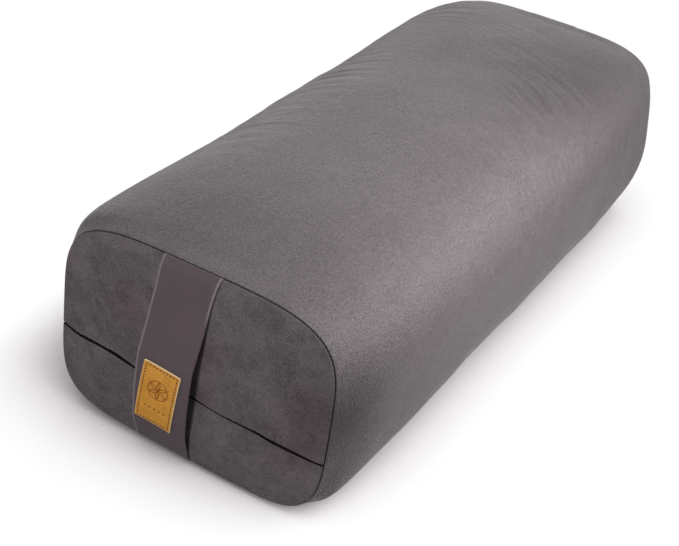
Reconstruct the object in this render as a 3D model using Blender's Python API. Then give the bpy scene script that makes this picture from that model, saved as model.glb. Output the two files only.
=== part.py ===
"""Rectangular yoga bolster with a removable zipped cover and carry handles.

Units are metres and +Z is up. The bolster lies on its underside with its long axis
along Y and the labelled end towards -Y. The origin is on the floor under its middle.
"""
import math

import bmesh
import bpy
from mathutils import Vector

# Filled body, measured over the cover
BODY_WIDTH = 0.280
BODY_HEIGHT = 0.188
SEAM_TO_SEAM = 0.6468
WIDEST_HEIGHT = 0.0965
END_DRAW_IN = 0.0175
END_TOP_DROP = 0.0071
END_BOTTOM_LIFT = 0.006
RESTING_SAG = 0.003
END_CROWN = 0.005
CROWN_POWER = 5.0
DRAW_IN_POWER = 8.0
TOP_SQUARENESS = (3.2, 4.1)
BOTTOM_SQUARENESS = (3.6, 4.6)
RIM_SQUARENESS = 40.0
SQUARENESS_BLEND_POWER = 3.0

# Cloth and the gaps between touching pieces
COVER_CLOTH = 0.0015
SEAM_ALLOWANCE = 0.006
SEAT_GAP = 0.0003
LINER_CLOTH = 0.0008
LINER_GAP = 0.0008
LINER_END_GAP = 0.0060
LINER_CROWN = 0.0035
BATTING_GAP = 0.0008
BATTING_END_GAP = 0.001

# Front end panel, cut in two along the zip line
ZIP_LINE_HEIGHT = 0.0705
ZIP_LINE_FALL_DEGREES = 3.6
ZIP_SLIT = 0.0016
PANEL_PUFF = 0.0015
PANEL_PUFF_REACH = 0.020
PUFF_FADE_POWER = 4.0
PILLOW_POWER = 2.0
PANEL_POINT_SPACING = 0.004

# Carry handles and the label on the front one
HANDLE_WIDTH = 0.0495
HANDLE_CLOTH = 0.0024
HANDLE_LIFT = 0.014
HANDLE_PEAK_SHARE = 0.592
HANDLE_LIFT_POWER = 1.95
HANDLE_EDGE_POWER = 8.0
FRONT_HANDLE_OFFSET = -0.0098
FRONT_HANDLE_LEAN_DEGREES = 3.9
LABEL_WIDTH = 0.0335
LABEL_HEIGHT = 0.059
LABEL_CENTRE_HEIGHT = 0.0689
LABEL_LEATHER = 0.0014
LABEL_OFFSET = -0.0018
LABEL_TURN_DEGREES = 4.8

# Zip chain and tapes; the two sliders meet head to head behind the front handle
ZIP_MEETING_PLACE = -0.0155
CHAIN_INSET = 0.0275
CHAIN_DEPTH = 0.0018
CHAIN_CLEARANCE = 0.0012
TOOTH_PITCH = 0.0032
TOOTH_HEAD = 0.0013
TOOTH_NECK = 0.0008
TOOTH_OVERLAP = 0.0010
SPINE_INNER = 0.0014
SPINE_OUTER = 0.0026
TAPE_CLOTH = 0.0006
TAPE_OVERHANG = 0.008
TAPE_WIDTH = 0.0150
TAPE_STEP = 0.0019
TAPE_STEP_START = 0.0068
TAPE_STEP_END = 0.0085
STOP_LENGTH = 0.0048
STOP_WALL = 0.0007

# Each slider and its pull tab
SLIDER_LENGTH = 0.0130
SLIDER_MEETING_GAP = 0.0012
SLIDER_REAR_PLAY = 0.0009
SLIDER_PLATE = 0.0009
SLIDER_CLEARANCE = 0.0003
SLIDER_RIM = 0.0007
SLIDER_WAIST_SHARE = 0.45
DIVIDER_LENGTH = 0.0042
DIVIDER_HALF_WIDTH = 0.0012
PARTED_LENGTH = 0.0034
PARTING_RUN = 0.0050
NECK_LENGTH = 0.0060
NECK_THICKNESS = 0.0010
SADDLE_LENGTH = 0.0086
SADDLE_WIDTH = 0.0030
SADDLE_PLATE = 0.0008
ARCH_LENGTH = 0.0062
ARCH_WIDTH = 0.0014
ARCH_BAR = 0.0008
ARCH_RISE = 0.0027
BRIDGE_SETBACK = 0.0030
PULL_LENGTH = 0.0102
PULL_WIDTH = 0.0046
PULL_PLATE = 0.0010
PULL_EYE_WIDTH = 0.0022
PULL_EYE_LENGTH = 0.0030
JOIN_OVERRUN = 0.0002
MERGE_SHARE = 0.01

# How finely the soft forms are divided
AROUND = 32
STATIONS = 13
HANDLE_STATIONS = 22
LABEL_STATIONS = 7
LABEL_COLUMNS = 4
RIM_SHARES = (1.0, 0.99, 0.96, 0.90, 0.80, 0.55)
PANEL_ROW_SHARES = (0.0, 0.12, 0.35, 0.62, 0.80, 0.91, 0.97, 1.0)
STRAP_ACROSS_SHARES = (0.0, 0.025, 0.08, 0.5, 0.92, 0.975, 1.0)

# Sizes that follow from those above
SEAM_Y = SEAM_TO_SEAM / 2
END_WIDTH = BODY_WIDTH - 2 * END_DRAW_IN
LINER_LENGTH = SEAM_TO_SEAM - 2 * LINER_END_GAP
BATTING_LENGTH = LINER_LENGTH - 2 * BATTING_END_GAP
CHAIN_LENGTH = END_WIDTH - 2 * CHAIN_INSET
TAPE_LENGTH = CHAIN_LENGTH + 2 * TAPE_OVERHANG
ROW_PARTING = TOOTH_OVERLAP + DIVIDER_HALF_WIDTH + SLIDER_CLEARANCE
SLIDER_HALF_DEPTH = CHAIN_DEPTH / 2 + SLIDER_CLEARANCE + SLIDER_PLATE
SLIDER_FRONT_HALF_WIDTH = SPINE_OUTER + ROW_PARTING + SLIDER_CLEARANCE + SLIDER_RIM
SLIDER_REAR_HALF_WIDTH = SPINE_OUTER + SLIDER_REAR_PLAY + SLIDER_RIM
FALL = math.radians(ZIP_LINE_FALL_DEGREES)
QUARTER = AROUND // 4
LAYER_STEPS = (-QUARTER, -3, -1, 0, 1, 3, QUARTER)
PARTING_STATIONS = 6


def clear_scene():
    """Empty the scene before the bolster is modelled."""
    for item in list(bpy.data.objects):
        bpy.data.objects.remove(item, do_unlink=True)


def make_material(name, colour, roughness, metallic=0.0):
    """A plain Principled material of one colour."""
    material = bpy.data.materials.new(name)
    material.use_nodes = True
    shader = material.node_tree.nodes["Principled BSDF"]
    shader.inputs["Base Color"].default_value = (*colour, 1.0)
    shader.inputs["Roughness"].default_value = roughness
    shader.inputs["Metallic"].default_value = metallic
    material.diffuse_color = (*colour, 1.0)
    return material


def add_piece(name, mesh_edit, material, parent=None, location=(0.0, 0.0, 0.0), sharp=40.0):
    """Turn the edited mesh into one named object, faces outwards, shaded smooth."""
    bmesh.ops.remove_doubles(mesh_edit, verts=mesh_edit.verts, dist=SEAT_GAP * MERGE_SHARE)
    bmesh.ops.recalc_face_normals(mesh_edit, faces=mesh_edit.faces)
    mesh = bpy.data.meshes.new(name)
    mesh_edit.to_mesh(mesh)
    mesh_edit.free()
    mesh.shade_smooth()
    mesh.set_sharp_from_angle(angle=math.radians(sharp))
    piece = bpy.data.objects.new(name, mesh)
    bpy.context.collection.objects.link(piece)
    mesh.materials.append(material)
    piece.parent = parent
    piece.location = location
    return piece


def signed_power(value, power):
    return math.copysign(abs(value) ** power, value)


def section_sizes(along, inset):
    """Half width, top and bottom of the section; along is 0 at mid-length, 1 at a seam."""
    draw = min(along, 1.0) ** DRAW_IN_POWER
    half_width = (BODY_WIDTH - (BODY_WIDTH - END_WIDTH) * draw) / 2 - inset
    top = BODY_HEIGHT - END_TOP_DROP * draw - inset
    bottom = END_BOTTOM_LIFT * draw - RESTING_SAG + inset
    return half_width, top, bottom


def squareness(along, upper):
    middle, end = TOP_SQUARENESS if upper else BOTTOM_SQUARENESS
    return middle + (end - middle) * min(along, 1.0) ** SQUARENESS_BLEND_POWER


def section_point(along, angle, inset=0.0):
    """Point (x, z) of the section outline; the underside is pressed flat on the floor."""
    half_width, top, bottom = section_sizes(along, inset)
    upper = math.sin(angle) >= 0
    power = 2 / squareness(along, upper)
    reach = top - WIDEST_HEIGHT if upper else WIDEST_HEIGHT - bottom
    x = half_width * signed_power(math.cos(angle), power)
    z = WIDEST_HEIGHT + reach * signed_power(math.sin(angle), power)
    return x, max(z, inset)


def section_angle(step):
    return step * math.pi / (2 * QUARTER)


def share_from_centre(x, z, inset=0.0):
    """0 at the centre of an end panel and 1 on its seam line."""
    half_width, top, bottom = section_sizes(1.0, inset)
    upper = z >= WIDEST_HEIGHT
    power = squareness(1.0, upper)
    reach = top - WIDEST_HEIGHT if upper else WIDEST_HEIGHT - bottom
    share = (abs(x) / half_width) ** power + (abs(z - WIDEST_HEIGHT) / reach) ** power
    return min(share ** (1 / power), 1.0)


def crown_depth(share, inset):
    """How far a panel's cloth stands out from the seam: nearly flat, and rolled over at its rim."""
    rim = (COVER_CLOTH - inset) * math.sqrt(max(1 - share ** RIM_SQUARENESS, 0.0))
    return rim + END_CROWN * (1 - share ** CROWN_POWER)


def zip_line_height(x, above=0.0):
    """Height of the tilted zip line at x, or of a line that far above it."""
    return ZIP_LINE_HEIGHT - x * math.tan(FALL) + above / math.cos(FALL)


def front_panel_depth(x, z, inset=0.0):
    """Distance of the front panel's face from mid-length."""
    share = share_from_centre(x, z, inset)
    from_zip = (z - zip_line_height(x)) * math.cos(FALL)
    puff = PANEL_PUFF * (1 - math.exp(-((from_zip / PANEL_PUFF_REACH) ** 2)))
    fade = 1 - share ** PUFF_FADE_POWER
    return SEAM_Y + SEAT_GAP / 2 + crown_depth(share, inset) + puff * fade


def rear_panel_depth(x, z, inset=0.0):
    """Distance of the rear panel's face from mid-length."""
    share = share_from_centre(x, z, inset)
    pillow = PANEL_PUFF * (1 - share ** PILLOW_POWER)
    return SEAM_Y + SEAT_GAP / 2 + crown_depth(share, inset) + pillow


def liner_end_depth(x, z, inset):
    """Distance of a liner end's face from mid-length."""
    share = share_from_centre(x, z, inset)
    crown = LINER_CROWN - (inset - COVER_CLOTH - LINER_GAP)
    return LINER_LENGTH / 2 + SEAT_GAP + crown * (1 - share ** PILLOW_POWER)


def skin_rings(rings, cyclic):
    """Join rings of points with faces; the ends are closed with fans or with each other."""
    mesh_edit = bmesh.new()
    loops = [[mesh_edit.verts.new(point) for point in ring] for ring in rings]
    pairs = list(zip(loops, loops[1:]))
    if cyclic:
        pairs.append((loops[-1], loops[0]))
    for first, second in pairs:
        for i in range(len(first)):
            j = (i + 1) % len(first)
            mesh_edit.faces.new((first[i], first[j], second[j], second[i]))
    if not cyclic:
        for loop in (loops[0], loops[-1]):
            mesh_edit.faces.new(loop)
    return mesh_edit


def skin_sheet(front, back):
    """A closed solid between two equal grids of points, walled in along all four edges."""
    mesh_edit = bmesh.new()
    grids = [[[mesh_edit.verts.new(point) for point in column] for column in grid]
             for grid in (front, back)]
    columns, rows = len(front), len(front[0])
    for grid in grids:
        for i in range(columns - 1):
            for k in range(rows - 1):
                mesh_edit.faces.new((grid[i][k], grid[i + 1][k], grid[i + 1][k + 1], grid[i][k + 1]))
    near, far = grids
    for k in (0, rows - 1):
        for i in range(columns - 1):
            mesh_edit.faces.new((near[i][k], near[i + 1][k], far[i + 1][k], far[i][k]))
    for i in (0, columns - 1):
        for k in range(rows - 1):
            mesh_edit.faces.new((near[i][k], near[i][k + 1], far[i][k + 1], far[i][k]))
    return mesh_edit


def stations_to(end):
    """Places along Y out to both ends, shared by all the nested layers and closer at the ends."""
    shared = [SEAM_Y * math.sin(math.pi * (i / (STATIONS - 1) - 0.5)) for i in range(1, STATIONS - 1)]
    return [-end] + shared + [end]


def sleeve(profile):
    """A tube of cloth round the section: profile lists (y, inset) round its wall."""
    rings = []
    for y, inset in profile:
        along = abs(y) / SEAM_Y
        outline = [section_point(along, section_angle(step), inset) for step in range(AROUND)]
        rings.append([(x, y, z) for x, z in outline])
    return skin_rings(rings, cyclic=True)


def build_wrap(material):
    """Cover cloth round the four long sides, its seam allowances turned in at both ends."""
    end = SEAM_Y - SEAT_GAP / 2
    inner_end = end - COVER_CLOTH
    outer = [(y, 0.0) for y in stations_to(end)]
    inner = [(y, COVER_CLOTH) for y in stations_to(inner_end)]
    allowance_front = [(end, SEAM_ALLOWANCE), (inner_end, SEAM_ALLOWANCE)]
    allowance_back = [(-inner_end, SEAM_ALLOWANCE), (-end, SEAM_ALLOWANCE)]
    profile = outer + allowance_front + inner[::-1] + allowance_back
    add_piece("cover_wrap", sleeve(profile), material)


def build_liner(material):
    """Inner bag that holds the batting: a sleeve and two sewn-in ends."""
    outer_inset = COVER_CLOTH + LINER_GAP
    inner_inset = outer_inset + LINER_CLOTH
    stations = stations_to(LINER_LENGTH / 2)
    profile = [(y, outer_inset) for y in stations] + [(y, inner_inset) for y in stations[::-1]]
    add_piece("liner_sleeve", sleeve(profile), material)
    for name, side in (("liner_front_end", -1), ("liner_rear_end", 1)):
        shell = end_shell(liner_end_depth, side, outer_inset, LINER_CLOTH)
        add_piece(name, shell, material)


def end_shell(depth_at, side, inset, cloth):
    """A crowned sheet of cloth that fills the end of the section."""
    rings = []
    for sheet_inset, shares in ((inset, RIM_SHARES[::-1]), (inset + cloth, RIM_SHARES)):
        for share in shares:
            ring = []
            for step in range(AROUND):
                x, z = section_point(1.0, section_angle(step), sheet_inset)
                x, z = x * share, WIDEST_HEIGHT + (z - WIDEST_HEIGHT) * share
                ring.append((x, side * depth_at(x, z, sheet_inset), z))
            rings.append(ring)
    return skin_rings(rings, cyclic=False)


def build_batting(material):
    """Six stacked pads of cotton batting that share out the height inside the liner."""
    inset = COVER_CLOTH + LINER_GAP + LINER_CLOTH + BATTING_GAP
    stations = stations_to(BATTING_LENGTH / 2)
    for number, (low, high) in enumerate(zip(LAYER_STEPS, LAYER_STEPS[1:]), start=1):
        rings = []
        for y in stations:
            right = []
            for step in range(low, high + 1):
                x, z = section_point(abs(y) / SEAM_Y, section_angle(step), inset)
                if step == low and low > -QUARTER:
                    z += BATTING_GAP / 2
                if step == high and high < QUARTER:
                    z -= BATTING_GAP / 2
                right.append((x, y, z))
            left = [(-x, y, z) for x, y, z in reversed(right) if x > SEAT_GAP]
            rings.append(right + left)
        add_piece(f"batting_layer_{number}", skin_rings(rings, cyclic=False), material)


def seam_angle_at(side, above, inset):
    """Angle on the end section where the edge of the zip slit runs out into the seam."""
    half_width, top, bottom = section_sizes(1.0, inset)
    rise = zip_line_height(side * half_width, above) - WIDEST_HEIGHT
    upper = rise >= 0
    reach = top - WIDEST_HEIGHT if upper else WIDEST_HEIGHT - bottom
    angle = math.asin(signed_power(rise / reach, squareness(1.0, upper) / 2))
    return angle if side > 0 else math.pi - angle


def run_out_angles(upper, inset):
    """Angles where a half panel's zip edge meets the seam, right and left, in the half's own sense."""
    above = ZIP_SLIT / 2 if upper else -ZIP_SLIT / 2
    right = seam_angle_at(1, above, inset)
    left = seam_angle_at(-1, above, inset)
    return right, left if upper else left - 2 * math.pi


def seam_angles(upper):
    """The end section's own angles along a half panel's seam, without those close to its ends."""
    start, end = run_out_angles(upper, 0.0)
    ends = [Vector(section_point(1.0, angle)) for angle in (start, end)]
    angles = [section_angle(step) for step in range(-AROUND, AROUND + 1)]
    kept = []
    for angle in angles if upper else angles[::-1]:
        spot = Vector(section_point(1.0, angle))
        clear = min((spot - other).length for other in ends) > PANEL_POINT_SPACING
        if min(start, end) < angle < max(start, end) and clear:
            kept.append(angle)
    return kept


def half_panel_grid(upper, inset):
    """Grid of points on one half of the front panel, from the zip edge to the seam."""
    above = ZIP_SLIT / 2 if upper else -ZIP_SLIT / 2
    right, left = run_out_angles(upper, inset)
    outline = [section_point(1.0, angle, inset) for angle in [right] + seam_angles(upper) + [left]]
    start_x, end_x = outline[0][0], outline[-1][0]
    columns = []
    for i, (x, z) in enumerate(outline):
        zip_x = start_x + (end_x - start_x) * i / (len(outline) - 1)
        zip_z = zip_line_height(zip_x, above)
        column = []
        for share in PANEL_ROW_SHARES:
            px = zip_x + (x - zip_x) * share
            pz = zip_z + (z - zip_z) * share
            column.append((px, -front_panel_depth(px, pz, inset), pz))
        columns.append(column)
    return columns


def build_panels(material):
    """Front panel in two halves that meet at the zip, and a rear panel in one piece."""
    for name, upper in (("front_panel_upper", True), ("front_panel_lower", False)):
        sheet = skin_sheet(half_panel_grid(upper, 0.0), half_panel_grid(upper, COVER_CLOTH))
        add_piece(name, sheet, material)
    add_piece("rear_panel", end_shell(rear_panel_depth, 1, 0.0, COVER_CLOTH), material)


def handle_middle(handle, z):
    """Middle of a handle's width at a height; handle holds its offset, its lean and its panel."""
    offset, lean, _ = handle
    return offset + lean * (z - WIDEST_HEIGHT)


def handle_point(handle, place):
    """Point (depth, z) of a handle's back, raised from the panel face by the handle's lift.

    place runs from -1 on the bottom seam to 1 on the top seam.
    """
    _, top, bottom = section_sizes(1.0, 0.0)
    reach = top - WIDEST_HEIGHT if place >= 0 else WIDEST_HEIGHT - bottom
    z = WIDEST_HEIGHT + reach * place
    down_share = (top - z) / (top - bottom)
    bend = math.log(0.5) / math.log(HANDLE_PEAK_SHARE)
    wave = max(math.sin(math.pi * down_share ** bend), 0.0)
    panel_depth = handle[-1]
    return panel_depth(handle_middle(handle, z), z) + HANDLE_LIFT * wave ** HANDLE_LIFT_POWER, z


def handle_frame(handle, place):
    """Point and outward normal, both in the plane of depth and z, of a handle's path."""
    nudge = 1 / (4 * HANDLE_STATIONS ** 2)
    before = Vector(handle_point(handle, max(place - nudge, -1.0)))
    after = Vector(handle_point(handle, min(place + nudge, 1.0)))
    along = (after - before).normalized()
    return Vector(handle_point(handle, place)), Vector((along.y, -along.x))


def handle_places(count):
    """Places along a handle, closer together towards its two sewn ends."""
    return [math.sin(math.pi * (i / (count - 1) - 0.5)) for i in range(count)]


def strap_sheet(handle, side):
    """A handle's strap, seated on its path and thinned at both folded edges."""
    front, back = [], []
    for across in STRAP_ACROSS_SHARES:
        fullness = 1 - abs(2 * across - 1) ** HANDLE_EDGE_POWER / 2
        for sheet, lift in ((front, SEAT_GAP + HANDLE_CLOTH * (1 + fullness) / 2),
                            (back, SEAT_GAP + HANDLE_CLOTH * (1 - fullness) / 2)):
            column = []
            for place in handle_places(HANDLE_STATIONS):
                point, normal = handle_frame(handle, place)
                x = handle_middle(handle, point.y) + HANDLE_WIDTH * (across - 0.5)
                point = point + normal * lift
                column.append((x, side * point.x, point.y))
            sheet.append(column)
    return skin_sheet(front, back)


def place_at_height(z):
    _, top, bottom = section_sizes(1.0, 0.0)
    reach = top - WIDEST_HEIGHT if z >= WIDEST_HEIGHT else WIDEST_HEIGHT - bottom
    return (z - WIDEST_HEIGHT) / reach


def label_sheet(handle):
    """The leather patch, turned a little on the front handle and bent to its curve."""
    turn = math.radians(LABEL_TURN_DEGREES)
    inner = SEAT_GAP + HANDLE_CLOTH + SEAT_GAP
    front, back = [], []
    for i in range(LABEL_COLUMNS):
        across = LABEL_WIDTH * (i / (LABEL_COLUMNS - 1) - 0.5)
        for sheet, lift in ((front, inner + LABEL_LEATHER), (back, inner)):
            column = []
            for k in range(LABEL_STATIONS):
                up = LABEL_HEIGHT * (k / (LABEL_STATIONS - 1) - 0.5)
                z = LABEL_CENTRE_HEIGHT + up * math.cos(turn) - across * math.sin(turn)
                aside = LABEL_OFFSET + across * math.cos(turn) + up * math.sin(turn)
                point, normal = handle_frame(handle, place_at_height(z))
                point = point + normal * lift
                column.append((handle_middle(handle, z) + aside, -point.x, point.y))
            sheet.append(column)
    return skin_sheet(front, back)


def build_handles(handle_material, label_material):
    """A handle across each end, sewn in at the top and bottom seams, and the front label."""
    lean = math.tan(math.radians(FRONT_HANDLE_LEAN_DEGREES))
    front = (FRONT_HANDLE_OFFSET, lean, front_panel_depth)
    rear = (0.0, 0.0, rear_panel_depth)
    add_piece("front_handle", strap_sheet(front, -1), handle_material)
    add_piece("rear_handle", strap_sheet(rear, 1), handle_material)
    add_piece("label_patch", label_sheet(front), label_material)


def prism(outline, axis, start, end):
    """Extrude an outline along axis 0, 1 or 2; its points give the other two axes in order."""
    def place(point, level):
        spot = list(point)
        spot.insert(axis, level)
        return spot

    mesh_edit = bmesh.new()
    caps = [[mesh_edit.verts.new(place(point, level)) for point in outline] for level in (start, end)]
    for cap in caps:
        mesh_edit.faces.new(cap)
    for i in range(len(outline)):
        j = (i + 1) % len(outline)
        mesh_edit.faces.new((caps[0][i], caps[0][j], caps[1][j], caps[1][i]))
    bmesh.ops.recalc_face_normals(mesh_edit, faces=mesh_edit.faces)
    return mesh_edit


def joined(name, bodies, material, parent, location, cutters=()):
    """One solid from overlapping bodies by Boolean union, less any cutters."""
    main = add_piece(name, bodies[0], material, parent, location)
    steps = [("UNION", body) for body in bodies[1:]] + [("DIFFERENCE", body) for body in cutters]
    for number, (operation, body) in enumerate(steps):
        tool = add_piece(f"{name}_tool_{number}", body, material, parent, location)
        tool.hide_render = True
        tool.display_type = "WIRE"
        modifier = main.modifiers.new(f"{operation}_{number}", "BOOLEAN")
        modifier.operation = operation
        modifier.solver = "EXACT"
        modifier.object = tool
    return main


def row_parting(x):
    """How far each row stands off the zip's middle line to pass the two sliders' dividers."""
    run_share = (abs(x - ZIP_MEETING_PLACE) - PARTED_LENGTH) / PARTING_RUN
    run_share = min(max(run_share, 0.0), 1.0)
    return ROW_PARTING * (1 - run_share ** 2 * (3 - 2 * run_share))


def chain_stations(half_length):
    """Places along the chain, closer together where the rows part round the dividers."""
    runs = [PARTED_LENGTH + PARTING_RUN * i / PARTING_STATIONS for i in range(PARTING_STATIONS + 1)]
    left = [ZIP_MEETING_PLACE - run for run in reversed(runs)]
    right = [ZIP_MEETING_PLACE + run for run in runs]
    return [-half_length] + left + right + [half_length]


def tooth_row_outline(side):
    """Outline (x, z) of a row of teeth on its spine; the rows mesh half a pitch apart."""
    shift = 0.0 if side > 0 else TOOTH_PITCH / 2
    start, end = -CHAIN_LENGTH / 2, CHAIN_LENGTH / 2
    edge = [(x, SPINE_OUTER + row_parting(x)) for x in reversed(chain_stations(end))]
    points = edge + [(start, SPINE_INNER)]
    count = int((CHAIN_LENGTH - TOOTH_PITCH) / TOOTH_PITCH)
    for i in range(count):
        centre = start + TOOTH_PITCH / 2 + shift + i * TOOTH_PITCH
        parted = row_parting(centre)
        points += [
            (centre - TOOTH_NECK / 2, SPINE_INNER + parted),
            (centre - TOOTH_HEAD / 2, parted),
            (centre - TOOTH_NECK / 2, parted - TOOTH_OVERLAP),
            (centre + TOOTH_NECK / 2, parted - TOOTH_OVERLAP),
            (centre + TOOTH_HEAD / 2, parted),
            (centre + TOOTH_NECK / 2, SPINE_INNER + parted),
        ]
    points.append((end, SPINE_INNER))
    return [(x, side * z) for x, z in points]


def tape_section(side, x):
    """Points of a tape's cross-section at x: level beside the teeth, then stepped up to the cloth."""
    half = TAPE_CLOTH / 2
    edge = SPINE_OUTER + SEAT_GAP
    near = [
        (half, edge + row_parting(x)), (half, TAPE_STEP_START), (half - TAPE_STEP, TAPE_STEP_END),
        (half - TAPE_STEP, edge + TAPE_WIDTH), (-half - TAPE_STEP, edge + TAPE_WIDTH),
        (-half - TAPE_STEP, TAPE_STEP_END), (-half, TAPE_STEP_START), (-half, edge + row_parting(x)),
    ]
    return [(x, y, side * z) for y, z in near]


def end_stop_body(start):
    """The box stop at an end of the chain, clenched round both tape edges."""
    half = TAPE_CLOTH / 2 + SEAT_GAP
    outer = half + STOP_WALL
    low = SPINE_OUTER
    high = low + SEAT_GAP + 2 * STOP_WALL + TAPE_CLOTH
    outline = [
        (-outer, -high), (-half, -high), (-half, -low), (half, -low), (half, -high), (outer, -high),
        (outer, high), (half, high), (half, low), (-half, low), (-half, high), (-outer, high),
    ]
    return prism(outline, 0, start, start + STOP_LENGTH)


def build_zip_chain(tape_material, teeth_material, metal, zip_line):
    """Both tapes with their rows of teeth, and the stops at the two ends of the chain."""
    for word, side in (("upper", 1), ("lower", -1)):
        rings = [tape_section(side, x) for x in chain_stations(TAPE_LENGTH / 2)]
        add_piece(f"zip_tape_{word}", skin_rings(rings, cyclic=False), tape_material, zip_line)
        row = prism(tooth_row_outline(side), 1, -CHAIN_DEPTH / 2, CHAIN_DEPTH / 2)
        add_piece(f"zip_teeth_{word}", row, teeth_material, zip_line)
    past_chain = CHAIN_LENGTH / 2 + SEAT_GAP
    for word, start in (("right", past_chain), ("left", -past_chain - STOP_LENGTH)):
        add_piece(f"zip_end_stop_{word}", end_stop_body(start), metal, zip_line)


def slider_parked_at(hand):
    """Place along the zip line of the right (1) or left (-1) slider when the zip is closed."""
    return ZIP_MEETING_PLACE + hand * (SLIDER_MEETING_GAP + SLIDER_LENGTH) / 2


def slider_outline():
    """Shield shape (x, z) of the slider's plates, wide in front where the rows enter."""
    front, rear = -SLIDER_LENGTH / 2, SLIDER_LENGTH / 2
    wide, narrow = SLIDER_FRONT_HALF_WIDTH, SLIDER_REAR_HALF_WIDTH
    waist = front + SLIDER_LENGTH * SLIDER_WAIST_SHARE
    half = [(rear, narrow), (waist, wide), (front + SLIDER_RIM, wide), (front, wide - SLIDER_RIM)]
    return half + [(x, -z) for x, z in reversed(half)]


def slider_rim_outline(side):
    """Rim (x, z) along one edge of a plate, which keeps the row of teeth in its channel."""
    outer = slider_outline()[:3]
    inner = [(x, z - SLIDER_RIM) for x, z in reversed(outer)]
    return [(x, side * z) for x, z in outer + inner]


def build_slider(name, metal, place):
    """Slider: two plates joined by the divider, a neck through the slit, and the bridge."""
    channel = SLIDER_HALF_DEPTH - SLIDER_PLATE
    plate_outer = SLIDER_HALF_DEPTH
    slot = TAPE_CLOTH / 2 + SLIDER_CLEARANCE
    divider_end = -SLIDER_LENGTH / 2 + DIVIDER_LENGTH
    saddle_low = saddle_offset()
    divider = [
        (-SLIDER_LENGTH / 2 + JOIN_OVERRUN, 0.0), (divider_end - DIVIDER_LENGTH / 2, -DIVIDER_HALF_WIDTH),
        (divider_end, 0.0), (divider_end - DIVIDER_LENGTH / 2, DIVIDER_HALF_WIDTH),
    ]
    bodies = [prism(slider_outline(), 1, -plate_outer, -channel),
              prism(slider_outline(), 1, channel, plate_outer),
              prism(divider, 1, -channel - JOIN_OVERRUN, channel + JOIN_OVERRUN)]
    for side in (1, -1):
        for near, far in ((-channel - JOIN_OVERRUN, -slot), (slot, channel + JOIN_OVERRUN)):
            bodies.append(prism(slider_rim_outline(side), 1, near, far))
    neck = box_outline(BRIDGE_SETBACK, NECK_LENGTH, NECK_THICKNESS)
    bodies.append(prism(neck, 1, -saddle_low - JOIN_OVERRUN, -plate_outer + JOIN_OVERRUN))
    saddle = box_outline(BRIDGE_SETBACK, SADDLE_LENGTH, SADDLE_WIDTH)
    bodies.append(prism(saddle, 1, -saddle_low - SADDLE_PLATE, -saddle_low))
    bodies.append(prism(arch_outline(saddle_low + SADDLE_PLATE), 2, -ARCH_WIDTH / 2, ARCH_WIDTH / 2))
    joined(name, bodies, metal, place, (0.0, 0.0, 0.0))


def chain_depth_from_middle():
    """Distance of the chain from mid-length: at its ends a slider lies just inside the panel."""
    end = CHAIN_LENGTH / 2 * math.cos(FALL)
    face = min(front_panel_depth(x, zip_line_height(x)) for x in (-end, end))
    return face - COVER_CLOTH - CHAIN_CLEARANCE - SLIDER_HALF_DEPTH


def saddle_offset():
    """How far in front of the chain the bridge's base plate starts, clear of the cover."""
    return front_panel_depth(0.0, ZIP_LINE_HEIGHT) - chain_depth_from_middle() + SEAT_GAP


def box_outline(centre, length, width):
    return [(centre - length / 2, -width / 2), (centre + length / 2, -width / 2),
            (centre + length / 2, width / 2), (centre - length / 2, width / 2)]


def arch_outline(base):
    """The bridge (x, y) that the pull tab hangs on, open underneath and set back from the nose."""
    outer, inner = ARCH_LENGTH / 2, ARCH_LENGTH / 2 - ARCH_BAR
    foot = -(base - JOIN_OVERRUN)
    crown, under = -(base + ARCH_RISE), -(base + ARCH_RISE - ARCH_BAR)
    shoulder = ARCH_BAR
    outline = [
        (-outer, foot), (-outer, crown + shoulder), (-outer + shoulder, crown),
        (outer - shoulder, crown), (outer, crown + shoulder), (outer, foot),
        (inner, foot), (inner, under), (-inner, under), (-inner, foot),
    ]
    return [(BRIDGE_SETBACK + x, y) for x, y in outline]


def pull_pivot_offset():
    """Distance in front of the chain of the axis that the pull tab turns on."""
    return saddle_offset() + SADDLE_PLATE + SLIDER_CLEARANCE + PULL_PLATE / 2


def build_pull_tab(name, metal, place):
    """Flat pull tab with an eye round the bridge and a hole in its free end."""
    half = PULL_PLATE / 2
    corner = PULL_WIDTH / 4
    outline = [
        (-half, PULL_WIDTH / 2), (-half, -PULL_WIDTH / 2), (PULL_LENGTH - corner, -PULL_WIDTH / 2),
        (PULL_LENGTH, corner - PULL_WIDTH / 2), (PULL_LENGTH, PULL_WIDTH / 2 - corner),
        (PULL_LENGTH - corner, PULL_WIDTH / 2),
    ]
    eye = box_outline(half + PULL_EYE_LENGTH / 2, PULL_EYE_LENGTH, PULL_EYE_WIDTH)
    hole = box_outline(PULL_LENGTH - 2 * corner, PULL_WIDTH / 3, PULL_WIDTH / 3)
    cutters = [prism(shape, 1, -PULL_PLATE, PULL_PLATE) for shape in (eye, hole)]
    plate = prism(outline, 1, -half, half)
    joined(name, [plate], metal, place, (BRIDGE_SETBACK, -pull_pivot_offset(), 0.0), cutters)


def add_empty(name, parent, location, turn):
    """A guide that carries pieces, turned about its own Y axis."""
    guide = bpy.data.objects.new(name, None)
    bpy.context.collection.objects.link(guide)
    guide.parent = parent
    guide.location = location
    guide.rotation_euler = (0.0, turn, 0.0)
    return guide


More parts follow.
